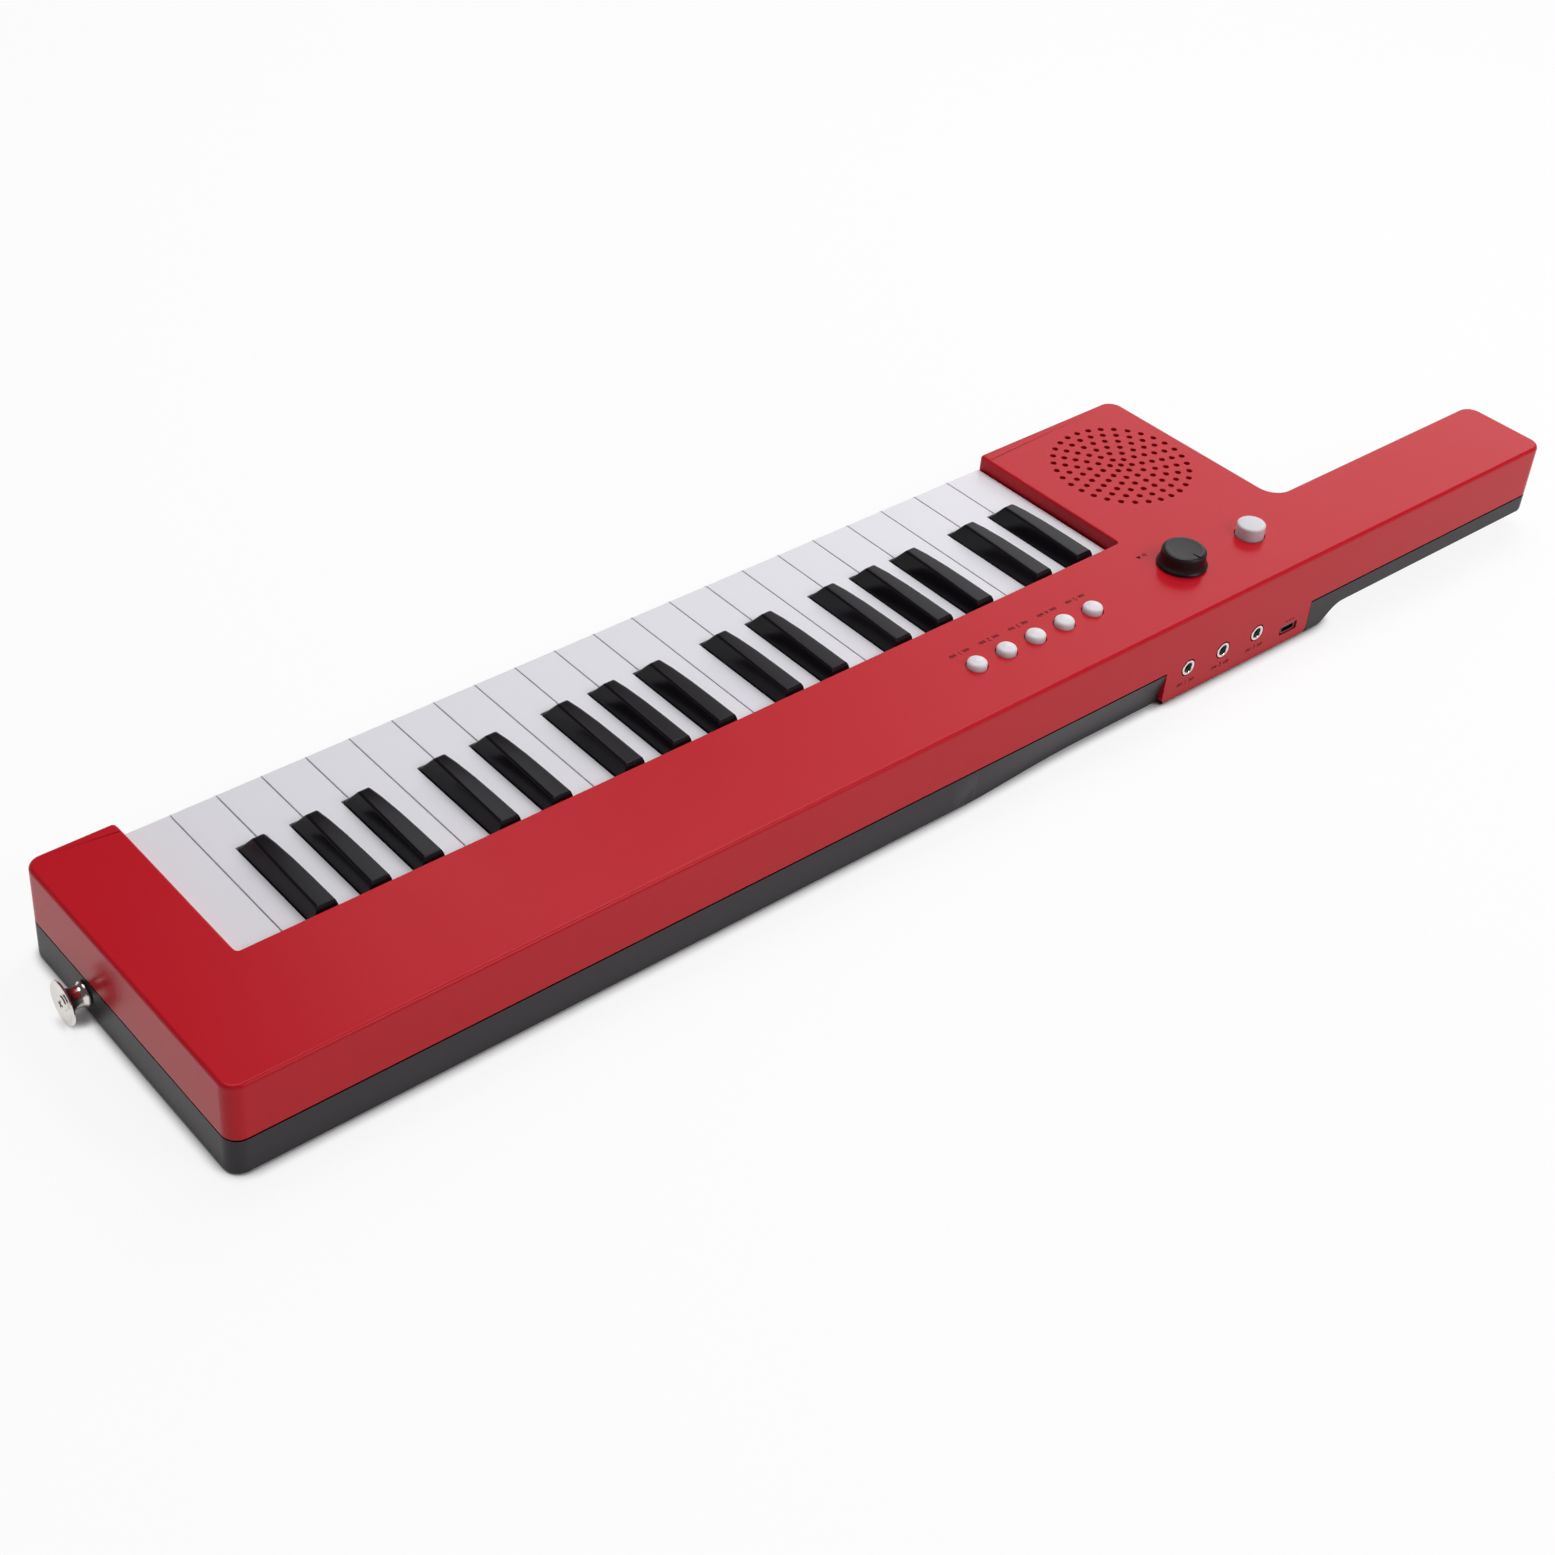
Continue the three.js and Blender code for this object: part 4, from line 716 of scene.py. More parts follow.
def makeTray(sizes, case):
    tray = makeCaseBlock("grey_tray", case, 0, sizes["rim"])
    roundPlanCorners(tray, case)
    pick(tray, "edges", lambda edge: level(edge, 0)
         and min(face.normal.z for face in edge.link_faces) < -squareOn
         and max(face.normal.z for face in edge.link_faces) > -0.1)
    rounded(sizes["edge"], 4)
    leaveEdit()
    cutAway(tray, makeSideForm(sizes, case), "INTERSECT")
    foot = sizes["neckFoot"] * mm
    inside = at(sizes["riseMiddle"] - sizes["riseLength"] / 2 - 1, 0, 0).x
    pick(tray, "edges", lambda edge: level(edge, foot)
         and middle(edge).x < inside and max(face.normal.z for face in edge.link_faces) > -0.1
         and abs(edge.verts[0].co.x - edge.verts[1].co.x) > 1 * mm)
    rounded(sizes["neckEdge"], 3)
    leaveEdit()

    inner = {**case, "neckDepth": case["neckDepth"] - sizes["wall"]}
    for side in ("neckStart", "front", "neckEnd"):
        inner[side] += sizes["wall"]
    hollow = makeCaseBlock("hollow", inner, -overrun, sizes["rim"] + overrun)
    leaveEdit()
    jackWall = addBlock("jack_wall", at(case["neckEnd"] - overrun, -sizes["wall"], -2 * overrun),
                        at(overrun, 2 * overrun, case["top"]))
    cutAway(hollow, jackWall)
    trebleWall = addBlock("treble_wall", at(-sizes["wall"], case["front"] - overrun, -2 * overrun),
                          at(2 * overrun, 2 * overrun, case["top"]))
    cutAway(hollow, trebleWall)
    innerSide = makeSideForm({**sizes, "rim": sizes["rim"] + 2 * overrun},
                             {**case, "neckEnd": inner["neckEnd"]})
    activate(innerSide)
    innerSide.location.z = sizes["wall"] * mm
    settle(innerSide, "inner_side")
    cutAway(hollow, innerSide, "INTERSECT")
    leaning = makeScoop(sizes, case)
    leaning.location.y = -sizes["wall"] * mm
    settle(leaning, "leaning")
    cutAway(hollow, leaning)
    cutAway(tray, hollow)
    cutAway(tray, makeScoop(sizes, case))

    rail = addBlock("rail", at(case["wellBass"] + sizes["seam"], case["front"], 1),
                    at(case["wellTreble"] - sizes["seam"], case["front"] + sizes["wall"], sizes["railTop"]))
    cutAway(tray, rail, "UNION")
    (x0, y0), (x1, y1) = sizes["bayLow"], sizes["bayHigh"]
    wall = sizes["bayWall"]
    bay = addBlock("bay", at(x0 - wall, y0 - wall, 1), at(x1 + wall, y1 + wall, sizes["bayHeight"] + wall))
    cutAway(tray, bay, "UNION")
    x, y, long, wide = sizes["wheelSlot"]
    for side in (-1, 1):
        inner = y + side * wide
        outer = inner + side * sizes["bracket"]
        bracket = addBlock("bracket", at(x - long / 2, min(inner, outer), sizes["neckFoot"] + 1),
                           at(x + long / 2, max(inner, outer), sizes["wheelHeight"]))
        saddle = addRound("saddle", at(x, (inner + outer) / 2, sizes["wheelHeight"]), sizes["saddle"], 10, 24,
                          (math.radians(90), 0, 0))
        cutAway(bracket, saddle)
        cutAway(tray, bracket, "UNION")
    cutters = [
        addBlock("bay_space", at(x0, y0, -overrun), at(x1, y1, sizes["bayHeight"])),
        addBlock("wheel_slot", at(x - long, y - wide, 0), at(x + long, y + wide, sizes["slotTop"])),
        addBlock("tab_space", at(case["tabNeck"] - sizes["seam"], -sizes["wall"] - sizes["seam"],
                                 case["tabFoot"] - sizes["seam"]),
                 at(case["tabTreble"] + sizes["seam"], overrun, case["top"])),
    ]
    for x, y, z in sizes["posts"]:
        cutters.append(addRound("screw_well", at(x, y, z), sizes["screwWell"], 2 * sizes["wall"] - 1, 32))
    for x, z in sizes["pinHoles"]:
        cutters.append(addRound("pin_hole", at(x, sizes["pinY"], z), sizes["pinHole"],
                                sizes["pinHoleDepth"], 24,
                                (0, math.radians(90), 0)))
    for cutter in cutters:
        cutAway(tray, cutter)
    shadeByAngle(tray)
    return tray


greyShell = makeTray(traySizes, caseSizes)
dress(greyShell, greyTray, "grey_plastic", "case", "lower_case")
# the tray rim's top faces under the red case get the near-black painted shade of the seam
greyShell.data.materials.append(seamShade)
pick(greyShell, "faces", lambda face: looks(face, upward)
     and near(middle(face).z, traySizes["rim"] * mm))
greyShell.active_material_index = 1
bpy.ops.object.material_slot_assign()
leaveEdit()
print("grey lower case is made")


# Keys

keySizes = {
    "bass": -499.5, "pitch": 20.8, "gap": 0.5, "count": 22, "blackCut": 13.8,
    "front": -147, "top": 37.1, "skirtFoot": 28.1, "lipFoot": 24.1, "lip": 1.5, "cutFront": -114.7,
    "panelEdge": -58.6, "ramp": 2.5, "tailEnd": -36.7, "barFoot": 34.1, "frontEdge": 1.5, "sideEdge": 0.3,
    "hollow": 7,
}
sharpSizes = {
    "width": 12.6, "front": -113.6, "slope": 4.5, "rear": -60.9, "rearFacet": 1.8,
    "facetSteeper": 0.7, "shoulder": 37.6, "top": 44.4,
    "crown": [(0, 5.0, -0.35), (0.2, 6.4, 0.1), (0.45, 7.4, 0.3), (0.7, 8.0, 0.2), (1, 8.4, 0)],
    "ridge": 0.9, "frontEdge": 1.1, "rearEdge": 0.26, "hollow": 11, "hollowWall": 2.4,
}
noteLetters = "cdefgab"


def layOutKeys(sizes):
    # places of every white key and its tail, and the centre line of every black key
    whites, blacks = {}, {}
    for n in range(sizes["count"]):
        degree = n % 7
        group, step = (3, degree) if degree < 3 else (4, degree - 3)
        note = noteLetters[degree] + str(3 + n // 7)
        left = sizes["bass"] + n * sizes["pitch"] + sizes["gap"] / 2
        right = left + sizes["pitch"] - sizes["gap"]
        tail = (group * sizes["pitch"] - sizes["gap"] - (group - 1) * sizes["blackCut"]) / group
        tailLeft = left - step * sizes["pitch"] + step * (tail + sizes["blackCut"])
        last = n == sizes["count"] - 1
        tailRight = right if last else tailLeft + tail
        whites[note] = (left, right, tailLeft, tailRight)
        if step < group - 1 and not last:
            blacks[note] = tailRight + sizes["blackCut"] / 2
    return whites, blacks


def makeWhiteKey(name, sizes, left, right, tailLeft, tailRight):
    key = addBlock(name, at(tailLeft, sizes["front"], sizes["skirtFoot"]),
                   at(tailRight, sizes["tailEnd"], sizes["top"]))
    addEdgeRow(key, at(0, sizes["cutFront"], 0), toJacks)
    cut = at(0, sizes["cutFront"], 0).y
    for side, reach in ((-1, left - tailLeft), (1, right - tailRight)):
        if abs(reach) > 0.01:
            pick(key, "faces", lambda face: looks(face, toTreble * side) and middle(face).y < cut)
            pull((reach * mm, 0, 0))
    lipRear = sizes["front"] + sizes["lip"]
    for y in (lipRear, sizes["panelEdge"] - sizes["ramp"], sizes["panelEdge"] + sizes["ramp"]):
        addEdgeRow(key, at(0, y, 0), toJacks)
    pick(key, "faces", lambda face: looks(face, downward) and middle(face).y < at(0, lipRear, 0).y)
    pull((0, 0, (sizes["lipFoot"] - sizes["skirtFoot"]) * mm))
    foot = sizes["skirtFoot"] * mm
    pick(key, "verts", lambda vert: near(vert.co.z, foot) and vert.co.y > at(0, sizes["panelEdge"], 0).y)
    bpy.ops.transform.translate(value=(0, 0, (sizes["barFoot"] - sizes["skirtFoot"]) * mm))
    pick(key, "faces", lambda face: looks(face, downward) and near(middle(face).z, foot)
         and middle(face).y < at(0, sizes["panelEdge"] - sizes["ramp"], 0).y)
    bpy.ops.mesh.inset(thickness=sizes["lip"] * mm, use_boundary=True)
    pull((0, 0, sizes["hollow"] * mm))
    bpy.ops.mesh.select_all(action="SELECT")
    bpy.ops.mesh.dissolve_limited(angle_limit=flatAngle)
    top, front = sizes["top"] * mm, at(0, sizes["front"], 0).y
    markEdges(key, sizes["sideEdge"] / sizes["frontEdge"],
              lambda edge: level(edge, top))
    markEdges(key, sizes["sideEdge"] / sizes["frontEdge"],
              lambda edge: upright(edge) and near(edge.verts[0].co.y, front))
    markEdges(key, 1, lambda edge: near(middle(edge).z, top) and near(middle(edge).y, front))
    roundByWeight(key, sizes["frontEdge"], 4)
    shadeByAngle(key)
    return key


def makeBlackKey(name, sizes, white, centre):
    half = sizes["width"] / 2
    key = addBlock(name, at(centre - half, sizes["front"], white["skirtFoot"]),
                   at(centre + half, sizes["rear"], sizes["top"]))
    for z in (white["barFoot"], white["top"] - 0.1, sizes["shoulder"]):
        addEdgeRow(key, at(0, 0, z), upward)
    rear = at(0, sizes["rear"], 0).y
    pick(key, "faces", lambda face: looks(face, toJacks)
         and white["barFoot"] * mm < middle(face).z < white["top"] * mm)
    pull((0, (white["tailEnd"] - sizes["rear"]) * mm, 0))
    pick(key, "faces", lambda face: looks(face, downward) and near(middle(face).z, white["skirtFoot"] * mm))
    bpy.ops.mesh.inset(thickness=sizes["hollowWall"] * mm)
    pull((0, 0, sizes["hollow"] * mm))
    top = sizes["top"] * mm
    long = sizes["rear"] - sizes["front"]
    stations = [at(0, sizes["front"] + long * step[0], 0).y for step in sizes["crown"]]
    for y in stations[1:-1]:
        addEdgeRow(key, (0, y, 0), toJacks)
    # the top widens and arches towards the panel
    for (share, width, rise), y in zip(sizes["crown"], stations):
        pick(key, "verts", lambda vert: near(vert.co.z, top) and near(vert.co.y, y))
        bpy.ops.transform.resize(value=(width / sizes["width"], 1, 1), center_override=at(centre, 0, 0))
        slope = sizes["slope"] * (1 - share) ** 4
        bpy.ops.transform.translate(value=(0, slope * mm, rise * mm))
    high = lambda vert: vert.co.z > top - 0.5 * mm
    pick(key, "edges", lambda edge: high(edge.verts[0]) and high(edge.verts[1])
         and all(near(vert.co.y, rear) for vert in edge.verts))
    rounded(sizes["rearFacet"], 1)
    facet = at(0, sizes["rear"] - sizes["rearFacet"], 0).y
    pick(key, "verts", lambda vert: high(vert) and near(vert.co.y, facet))
    bpy.ops.transform.translate(value=(0, sizes["facetSteeper"] * mm, 0))
    shoulder = sizes["shoulder"] * mm
    turning = lambda edge: middle(edge).z > shoulder + 0.5 * mm and edge.calc_face_angle(0) > 0.3
    facetStart = at(0, sizes["rear"] - sizes["rearFacet"] - 0.5, 0).y
    slopeEnd = at(0, sizes["front"] + sizes["slope"] + 0.5, 0).y
    lengthways = lambda edge: abs(edge.verts[0].co.y - edge.verts[1].co.y) > 1 * mm
    widest = max(sizes["ridge"], sizes["frontEdge"])
    markEdges(key, sizes["frontEdge"] / widest,
              lambda edge: turning(edge) and middle(edge).y < slopeEnd and not lengthways(edge))
    markEdges(key, sizes["ridge"] / widest,
              lambda edge: turning(edge) and middle(edge).y < facetStart and lengthways(edge))
    markEdges(key, sizes["rearEdge"] / widest, lambda edge: turning(edge) and middle(edge).y > facetStart)
    roundByWeight(key, widest, 4)
    shadeByAngle(key, turnedAngle)
    return key


whites, blacks = layOutKeys(keySizes)
octave = 7 * keySizes["pitch"] * mm
patterns = {}
for note, places in whites.items():
    name = "white_key_" + note
    first = patterns.get(note[0])
    if first is None or note == "c6":
        key = makeWhiteKey(name, keySizes, *places)
        patterns.setdefault(note[0], key)
    else:
        key = copyOf(first, name, (octave * (int(note[1]) - 3), 0, 0))
    dress(key, whiteKeys, "white_plastic", "key_" + note, "key_" + note)
sharp = None
for note, centre in blacks.items():
    name = "black_key_" + note
    if sharp is None:
        sharp, firstCentre = makeBlackKey(name, sharpSizes, keySizes, centre), centre
        key = sharp
    else:
        key = copyOf(sharp, name, ((centre - firstCentre) * mm, 0, 0))
    dress(key, blackKeys, "black_plastic", "key_" + note + "_sharp", "key_" + note + "_sharp")
print("keys are made")


# Buttons and volume knob

buttonSizes = {
    "small": {"radius": 4.35, "top": 47.7, "edge": 1.6, "crown": 0.75},
    "large": {"radius": 6.4, "top": 50.5, "edge": 1, "crown": 0.4},
    "stem": 2, "stemFoot": 35.1, "flange": 1.4, "flangeFoot": 40.1, "flangeTop": 41.3, "root": 0.05,
}
knobSizes = {
    "profile": [(3.4, 50), (3.4, 44.6), (11.15, 44.6), (11.35, 44.8), (11.35, 45.2), (11, 45.6),
                (10.4, 45.95), (10.2, 46.5), (10.08, 47.6), (10, 49.4), (9.95, 51.1), (9.85, 51.5),
                (9.5, 51.95), (9.05, 52.25), (8.5, 52.38), (7.9, 52.4), (7.2, 52.34), (6.4, 52.22),
                (1, 52.15)],
    "top": 52.4, "notchWidth": 0.9, "notchLength": 4.6, "notchDepth": 0.5, "notchReach": 9.7,
}


def makeButton(name, sizes, shared, x, y):
    reach = sizes["radius"] + shared["flange"]
    profile = [(shared["stem"], shared["stemFoot"]), (shared["stem"], shared["flangeFoot"]),
               (reach, shared["flangeFoot"]), (reach, shared["flangeTop"]),
               (sizes["radius"] + shared["root"], shared["flangeTop"]),
               *domed(sizes["radius"], sizes["top"], sizes["edge"], sizes["crown"])]
    button = turnedPiece(name, profile, at(x, y, 0), sides=capSides)
    shadeByAngle(button, turnedAngle)
    return button


for i, (x, y) in enumerate(controlSizes["buttons"]):
    if i == 0:
        firstButton = makeButton("small_button_1", buttonSizes["small"], buttonSizes, x, y)
        button = firstButton
    else:
        away = (x - controlSizes["buttons"][0][0]) * mm
        button = copyOf(firstButton, f"small_button_{i + 1}", (away, 0, 0))
    dress(button, buttonWhite, "button_plastic", f"panel_button_{i + 1}", f"panel_button_{i + 1}")
largeButton = makeButton("large_button", buttonSizes["large"], buttonSizes, *controlSizes["power"])
dress(largeButton, powerWhite, "button_plastic", "power_button", "power_button")


def makeKnob(sizes, x, y):
    knob = turnedPiece("round_knob", sizes["profile"], at(x, y, 0), sides=fineSides)
    half, reach = sizes["notchWidth"] / 2, sizes["notchReach"]
    notch = addBlock("notch",
                     at(x - half, y + reach - sizes["notchLength"], sizes["top"] - sizes["notchDepth"]),
                     at(x + half, y + reach + 3, sizes["top"] + overrun))
    cutAway(knob, notch)
    shadeByAngle(knob, turnedAngle)
    return knob


dress(makeKnob(knobSizes, *controlSizes["knob"]), knobBlack, "knob_plastic", "volume_knob", "volume_knob")
print("buttons and knob are made")


# Sockets in the jack tab

socketSizes = {
    "ring": [(2.35, -9), (2.35, -0.3), (2.45, 0.02), (2.7, 0.28), (3, 0.4), (3.35, 0.36), (3.65, 0.15),
             (3.8, -0.25), (3.8, -2.6), (3.8, -9.5)],
    "liner": [(1.75, -8), (1.75, -1.1), (1.9, -0.9), (2.34, -0.9), (2.34, -8.9)],
    "shell": (9, 3.4), "depth": 7, "recess": 0.5, "wall": 0.45, "back": 0.6, "lowerCorner": 1.1,
    "tongue": (4.4, 0.6), "tongueRear": -7, "tongueMouth": -1.6, "tongueEdge": 0.1,
}


def makeJack(name, sizes, x, z):
    jack = turnedPiece(name, sizes["ring"], at(x, 0, z), (math.radians(-90), 0, 0), capSides)
    shadeByAngle(jack, turnedAngle)
    return jack


def makeUsbShell(sizes, x, z):
    wide, tall = sizes["shell"]
    rear, mouth = -sizes["recess"] - sizes["depth"], -sizes["recess"]
    shell = addBlock("usb_shell", at(x - wide / 2, rear, z - tall / 2), at(x + wide / 2, mouth, z + tall / 2))
    low = (z - tall / 2) * mm
    pick(shell, "edges", lambda edge: near(middle(edge).z, low) and runsAlong(edge, toJacks))
    rounded(sizes["lowerCorner"], 3)
    pick(shell, "faces", lambda face: looks(face, toJacks))
    bpy.ops.mesh.inset(thickness=sizes["wall"] * mm)
    pull((0, -(sizes["depth"] - sizes["back"]) * mm, 0))
    leaveEdit()
    shadeByAngle(shell)
    return shell


for i, x in enumerate(controlSizes["jacks"]):
    if i == 0:
        firstJack = makeJack("jack_ring_1", socketSizes, x, controlSizes["jackHeight"])
        jack = firstJack
    else:
        jack = copyOf(firstJack, f"jack_ring_{i + 1}", ((x - controlSizes["jacks"][0]) * mm, 0, 0))
    dress(jack, nickel, "nickel", "case", f"audio_jack_{i + 1}")
    liner = turnedPiece(f"jack_liner_{i + 1}", socketSizes["liner"], at(x, 0, controlSizes["jackHeight"]),
                        (math.radians(-90), 0, 0), holeSides)
    shadeByAngle(liner, turnedAngle)
    dress(liner, innerDark, "frame_plastic", "case")
usbShell = makeUsbShell(socketSizes, *controlSizes["usb"])
# the USB shell wears the darkened steel, painted shade for the inside of the slot
dress(usbShell, shadedSteel, "steel", "case", "usb_socket")
x, z = controlSizes["usb"]
wide, tall = socketSizes["tongue"]
tongue = addBlock("usb_tongue", at(x - wide / 2, socketSizes["tongueRear"], z - tall / 2),
                  at(x + wide / 2, socketSizes["tongueMouth"], z + tall / 2))
roundByAngle(tongue, socketSizes["tongueEdge"], 2)
dress(tongue, innerDark, "frame_plastic", "case")
print("sockets are made")


# Strap pins

pinSizes = {
    "profile": [(2, -7), (2, 0.3), (5.1, 0.3), (5.3, 0.55), (5.3, 1.3), (5.05, 1.75), (4.65, 2.3),
                (4.45, 3.2), (4.4, 4.8), (4.5, 6.2), (5, 7.2), (6.2, 8.1), (7.8, 8.7), (8.9, 8.95),
                (9.25, 9.2), (9.3, 9.6), (9.1, 9.95), (8.6, 10.05), (7.4, 9.75), (5, 9.45), (3.5, 9.3),
                (3.3, 9.45), (3.1, 10.0), (2.4, 10.4), (1.2, 10.58), (0.2, 10.6)],
    "crossWidth": 0.9, "crossLength": 3.6, "crossDepth": 1.2, "reach": 10.6,
}


def makePin(name, sizes, x, z, outward):
    pin = turnedPiece(name, sizes["profile"], (0, 0, 0), sides=56)
    cutCross(pin, sizes, sizes["reach"] - sizes["crossDepth"], sizes["reach"] + 1)
    pin.rotation_euler = (0, math.radians(90 * outward), 0)
    pin.location = at(x, traySizes["pinY"], z)
    settle(pin, name)
    shadeByAngle(pin, turnedAngle)
    return pin


treblePlace, neckPlace = traySizes["pinHoles"]
dress(makePin("treble_pin", pinSizes, *treblePlace, 1), nickel, "nickel", "case", "strap_pin_treble")
dress(makePin("neck_side_pin", pinSizes, *neckPlace, -1), nickel, "nickel", "case", "strap_pin_neck_side")
print("strap pins are made")


# Battery door, with the contacts of its bay

doorSizes = {
    "low": (-317.6, -50.5), "high": (-214.4, -6.3), "foot": 0.3, "top": 2.3, "corner": 2, "edge": 0.35,
    "dishWidth": 16, "dishFront": -46.5, "dishLength": 12, "dishDepth": 1.1, "dishCorner": 2.5,
    "ribCount": 5, "ribPitch": 2, "ribSize": (12, 0.7, 0.5), "sink": 0.4, "ease": 0.2,
    "latchWidth": 16, "latchFront": -49.3, "latchThickness": 1.4, "latchTop": 7.3, "hook": 0.5,
    "tabAway": 31.2, "tabWidth": 12, "tabReach": 3, "tabTop": 4, "tabEdge": 0.3,
    "hookHeight": 1.8, "stiffeners": (-25, -8, 8, 25), "stiffener": (1.2, 0.8), "stiffenerEnds": (6, 4),
    "arrow": 2.6, "arrowRise": 0.12, "arrowAway": 6, "overlap": 0.5,
}


def makeDoor(sizes):
    (x0, y0), (x1, y1) = sizes["low"], sizes["high"]
    foot, top = sizes["foot"], sizes["top"]
    door = addBlock("door_plate", at(x0, y0, foot), at(x1, y1, top))
    pick(door, "edges", upright)
    rounded(sizes["corner"], cornerSteps)
    pick(door, "edges", lambda edge: level(edge, foot * mm))
    rounded(sizes["edge"], 2)
    leaveEdit()
    middleX = (x0 + x1) / 2
    wide, front, long = sizes["dishWidth"] / 2, sizes["dishFront"], sizes["dishLength"]
    dish = addBlock("dish", at(middleX - wide, front, foot - 2),
                    at(middleX + wide, front + long, foot + sizes["dishDepth"]))
    pick(dish, "edges", upright)
    rounded(sizes["dishCorner"], 5)
    pick(dish, "edges", lambda edge: level(edge, (foot + sizes["dishDepth"]) * mm))
    rounded(sizes["dishDepth"] * 0.8, 3)
    leaveEdit()
    cutAway(door, dish)
    ribLong, ribWide, ribHigh = sizes["ribSize"]
    for i in range(sizes["ribCount"]):
        y = front + long / 2 + (i - (sizes["ribCount"] - 1) / 2) * sizes["ribPitch"]
        ceiling = foot + sizes["dishDepth"]
        rib = easedBlock("grip_rib", at(middleX - ribLong / 2, y - ribWide / 2, ceiling - ribHigh),
                         at(middleX + ribLong / 2, y + ribWide / 2, ceiling + sizes["sink"]),
                         sizes["ease"], 2, lambda edge: not upright(edge) and middle(edge).z < ceiling * mm)
        cutAway(door, rib, "UNION")
    (stiffWide, stiffTall), (stiffFront, stiffRear) = sizes["stiffener"], sizes["stiffenerEnds"]
    for x in sizes["stiffeners"]:
        stiffener = addBlock("stiffener",
                             at(middleX + x - stiffWide / 2, y0 + stiffFront, top - sizes["overlap"]),
                             at(middleX + x + stiffWide / 2, y1 - stiffRear, top + stiffTall))
        cutAway(door, stiffener, "UNION")
    for side in (-1, 1):
        x = middleX + side * sizes["tabAway"]
        tab = easedBlock("tab", at(x - sizes["tabWidth"] / 2, y1 - sizes["tabReach"],
                                   top - sizes["overlap"]),
                         at(x + sizes["tabWidth"] / 2, y1 - 0.02, sizes["tabTop"]), sizes["tabEdge"], 2,
                         lambda edge: middle(edge).z > top * mm and not upright(edge))
        cutAway(door, tab, "UNION")
    latchWide, latchY = sizes["latchWidth"] / 2, sizes["latchFront"]
    latch = addBlock("latch", at(middleX - latchWide, latchY, top - sizes["overlap"]),
                     at(middleX + latchWide, latchY + sizes["latchThickness"], sizes["latchTop"]))
    hookFoot = sizes["latchTop"] - sizes["hookHeight"]
    addEdgeRow(latch, at(0, 0, hookFoot), upward)
    pick(latch, "faces", lambda face: looks(face, toFront) and middle(face).z > hookFoot * mm)
    pull((0, -sizes["hook"] * mm, 0))
    pick(latch, "edges", lambda edge: middle(edge).z > top * mm)
    rounded(sizes["ease"], 2)
    leaveEdit()
    cutAway(door, latch, "UNION")
    arrow = turnedPiece("arrow", [(sizes["arrow"], foot - sizes["arrowRise"]),
                                  (sizes["arrow"], foot + sizes["sink"])],
                        at(middleX, front + long + sizes["arrowAway"], 0), (0, 0, math.radians(90)), 3)
    cutAway(door, arrow, "UNION")
    shadeByAngle(door)
    return door


dress(makeDoor(doorSizes), greyTray, "grey_plastic", "battery_door", "battery_door")

contactSizes = {"rows": (-43.2, -28.4, -13.6), "height": 9.5, "plate": (0.5, 12, 11), "corner": 1.5,
                "tip": 2.6, "tipSteps": ((1, -0.05), (1, 0.3), (0.8, 0.7), (0.4, 0.85)),
                "spring": {"turns": 4, "wide": 4.2, "narrow": 2, "wire": 0.35, "length": 4.6, "steps": 18}}


def makeSpring(name, sizes):
    # a circle of wire carried along a widening helix, one short step at a time
    deselectAll()
    bpy.ops.mesh.primitive_circle_add(vertices=8, radius=sizes["wire"] * mm, fill_type="NGON",
                                      location=(sizes["narrow"] * mm, 0, 0),
                                      rotation=(math.radians(90), 0, 0))
    spring = settle(bpy.context.object, name)
    bpy.ops.object.mode_set(mode="EDIT")
    bpy.ops.mesh.select_mode(type="FACE")
    bpy.ops.mesh.select_all(action="SELECT")
    total = sizes["turns"] * sizes["steps"]
    radius = sizes["narrow"]
    for i in range(total):
        nextRadius = sizes["narrow"] + (sizes["wide"] - sizes["narrow"]) * (i + 1) / total
        pull((0, 0, -sizes["length"] / total * mm))
        bpy.ops.transform.rotate(value=math.radians(360 / sizes["steps"]), orient_axis="Z",
                                 center_override=(0, 0, 0))
        angle = 2 * math.pi * (i + 1) / sizes["steps"]
        outward = (nextRadius - radius) * mm
        bpy.ops.transform.translate(value=(outward * math.cos(angle), outward * math.sin(angle), 0))
        radius = nextRadius
    bpy.ops.mesh.select_all(action="SELECT")
    bpy.ops.mesh.normals_make_consistent(inside=False)
    leaveEdit()
    return spring


def makeContacts(sizes, tray):
    # every row has a flat tip at one end and a spring at the other, turn about
    (x0, y0), (x1, y1) = tray["bayLow"], tray["bayHigh"]
    thin, wide, high = sizes["plate"]
    pieces = []
    for row, y in enumerate(sizes["rows"]):
        for end, x in ((1, x0), (-1, x1)):
            z = sizes["height"]
            plate = easedBlock("contact_plate", at(min(x, x + end * thin), y - wide / 2, z - high / 2),
                               at(max(x, x + end * thin), y + wide / 2, z + high / 2), sizes["corner"], 3,
                               lambda edge: runsAlong(edge, toTreble))
            face = x + end * thin
            if (row + (end > 0)) % 2:
                part = makeSpring("contact_spring", sizes["spring"])
                part.rotation_euler = (0, math.radians(90 * end), 0)
                part.location = at(face + end * sizes["spring"]["length"], y, z)
                settle(part, "contact_spring")
            else:
                tip = [(sizes["tip"] * share, rise) for share, rise in sizes["tipSteps"]]
                part = turnedPiece("contact_tip", tip, at(face, y, z), (0, math.radians(90 * end), 0), 24)
            pieces += [plate, part]
    contacts = joined(pieces)
    settle(contacts, "battery_contacts")
    shadeByAngle(contacts, 40)
    return contacts


dress(makeContacts(contactSizes, traySizes), nickel, "nickel", "case")
print("battery door and contacts are made")


# Pitch wheel under the neck

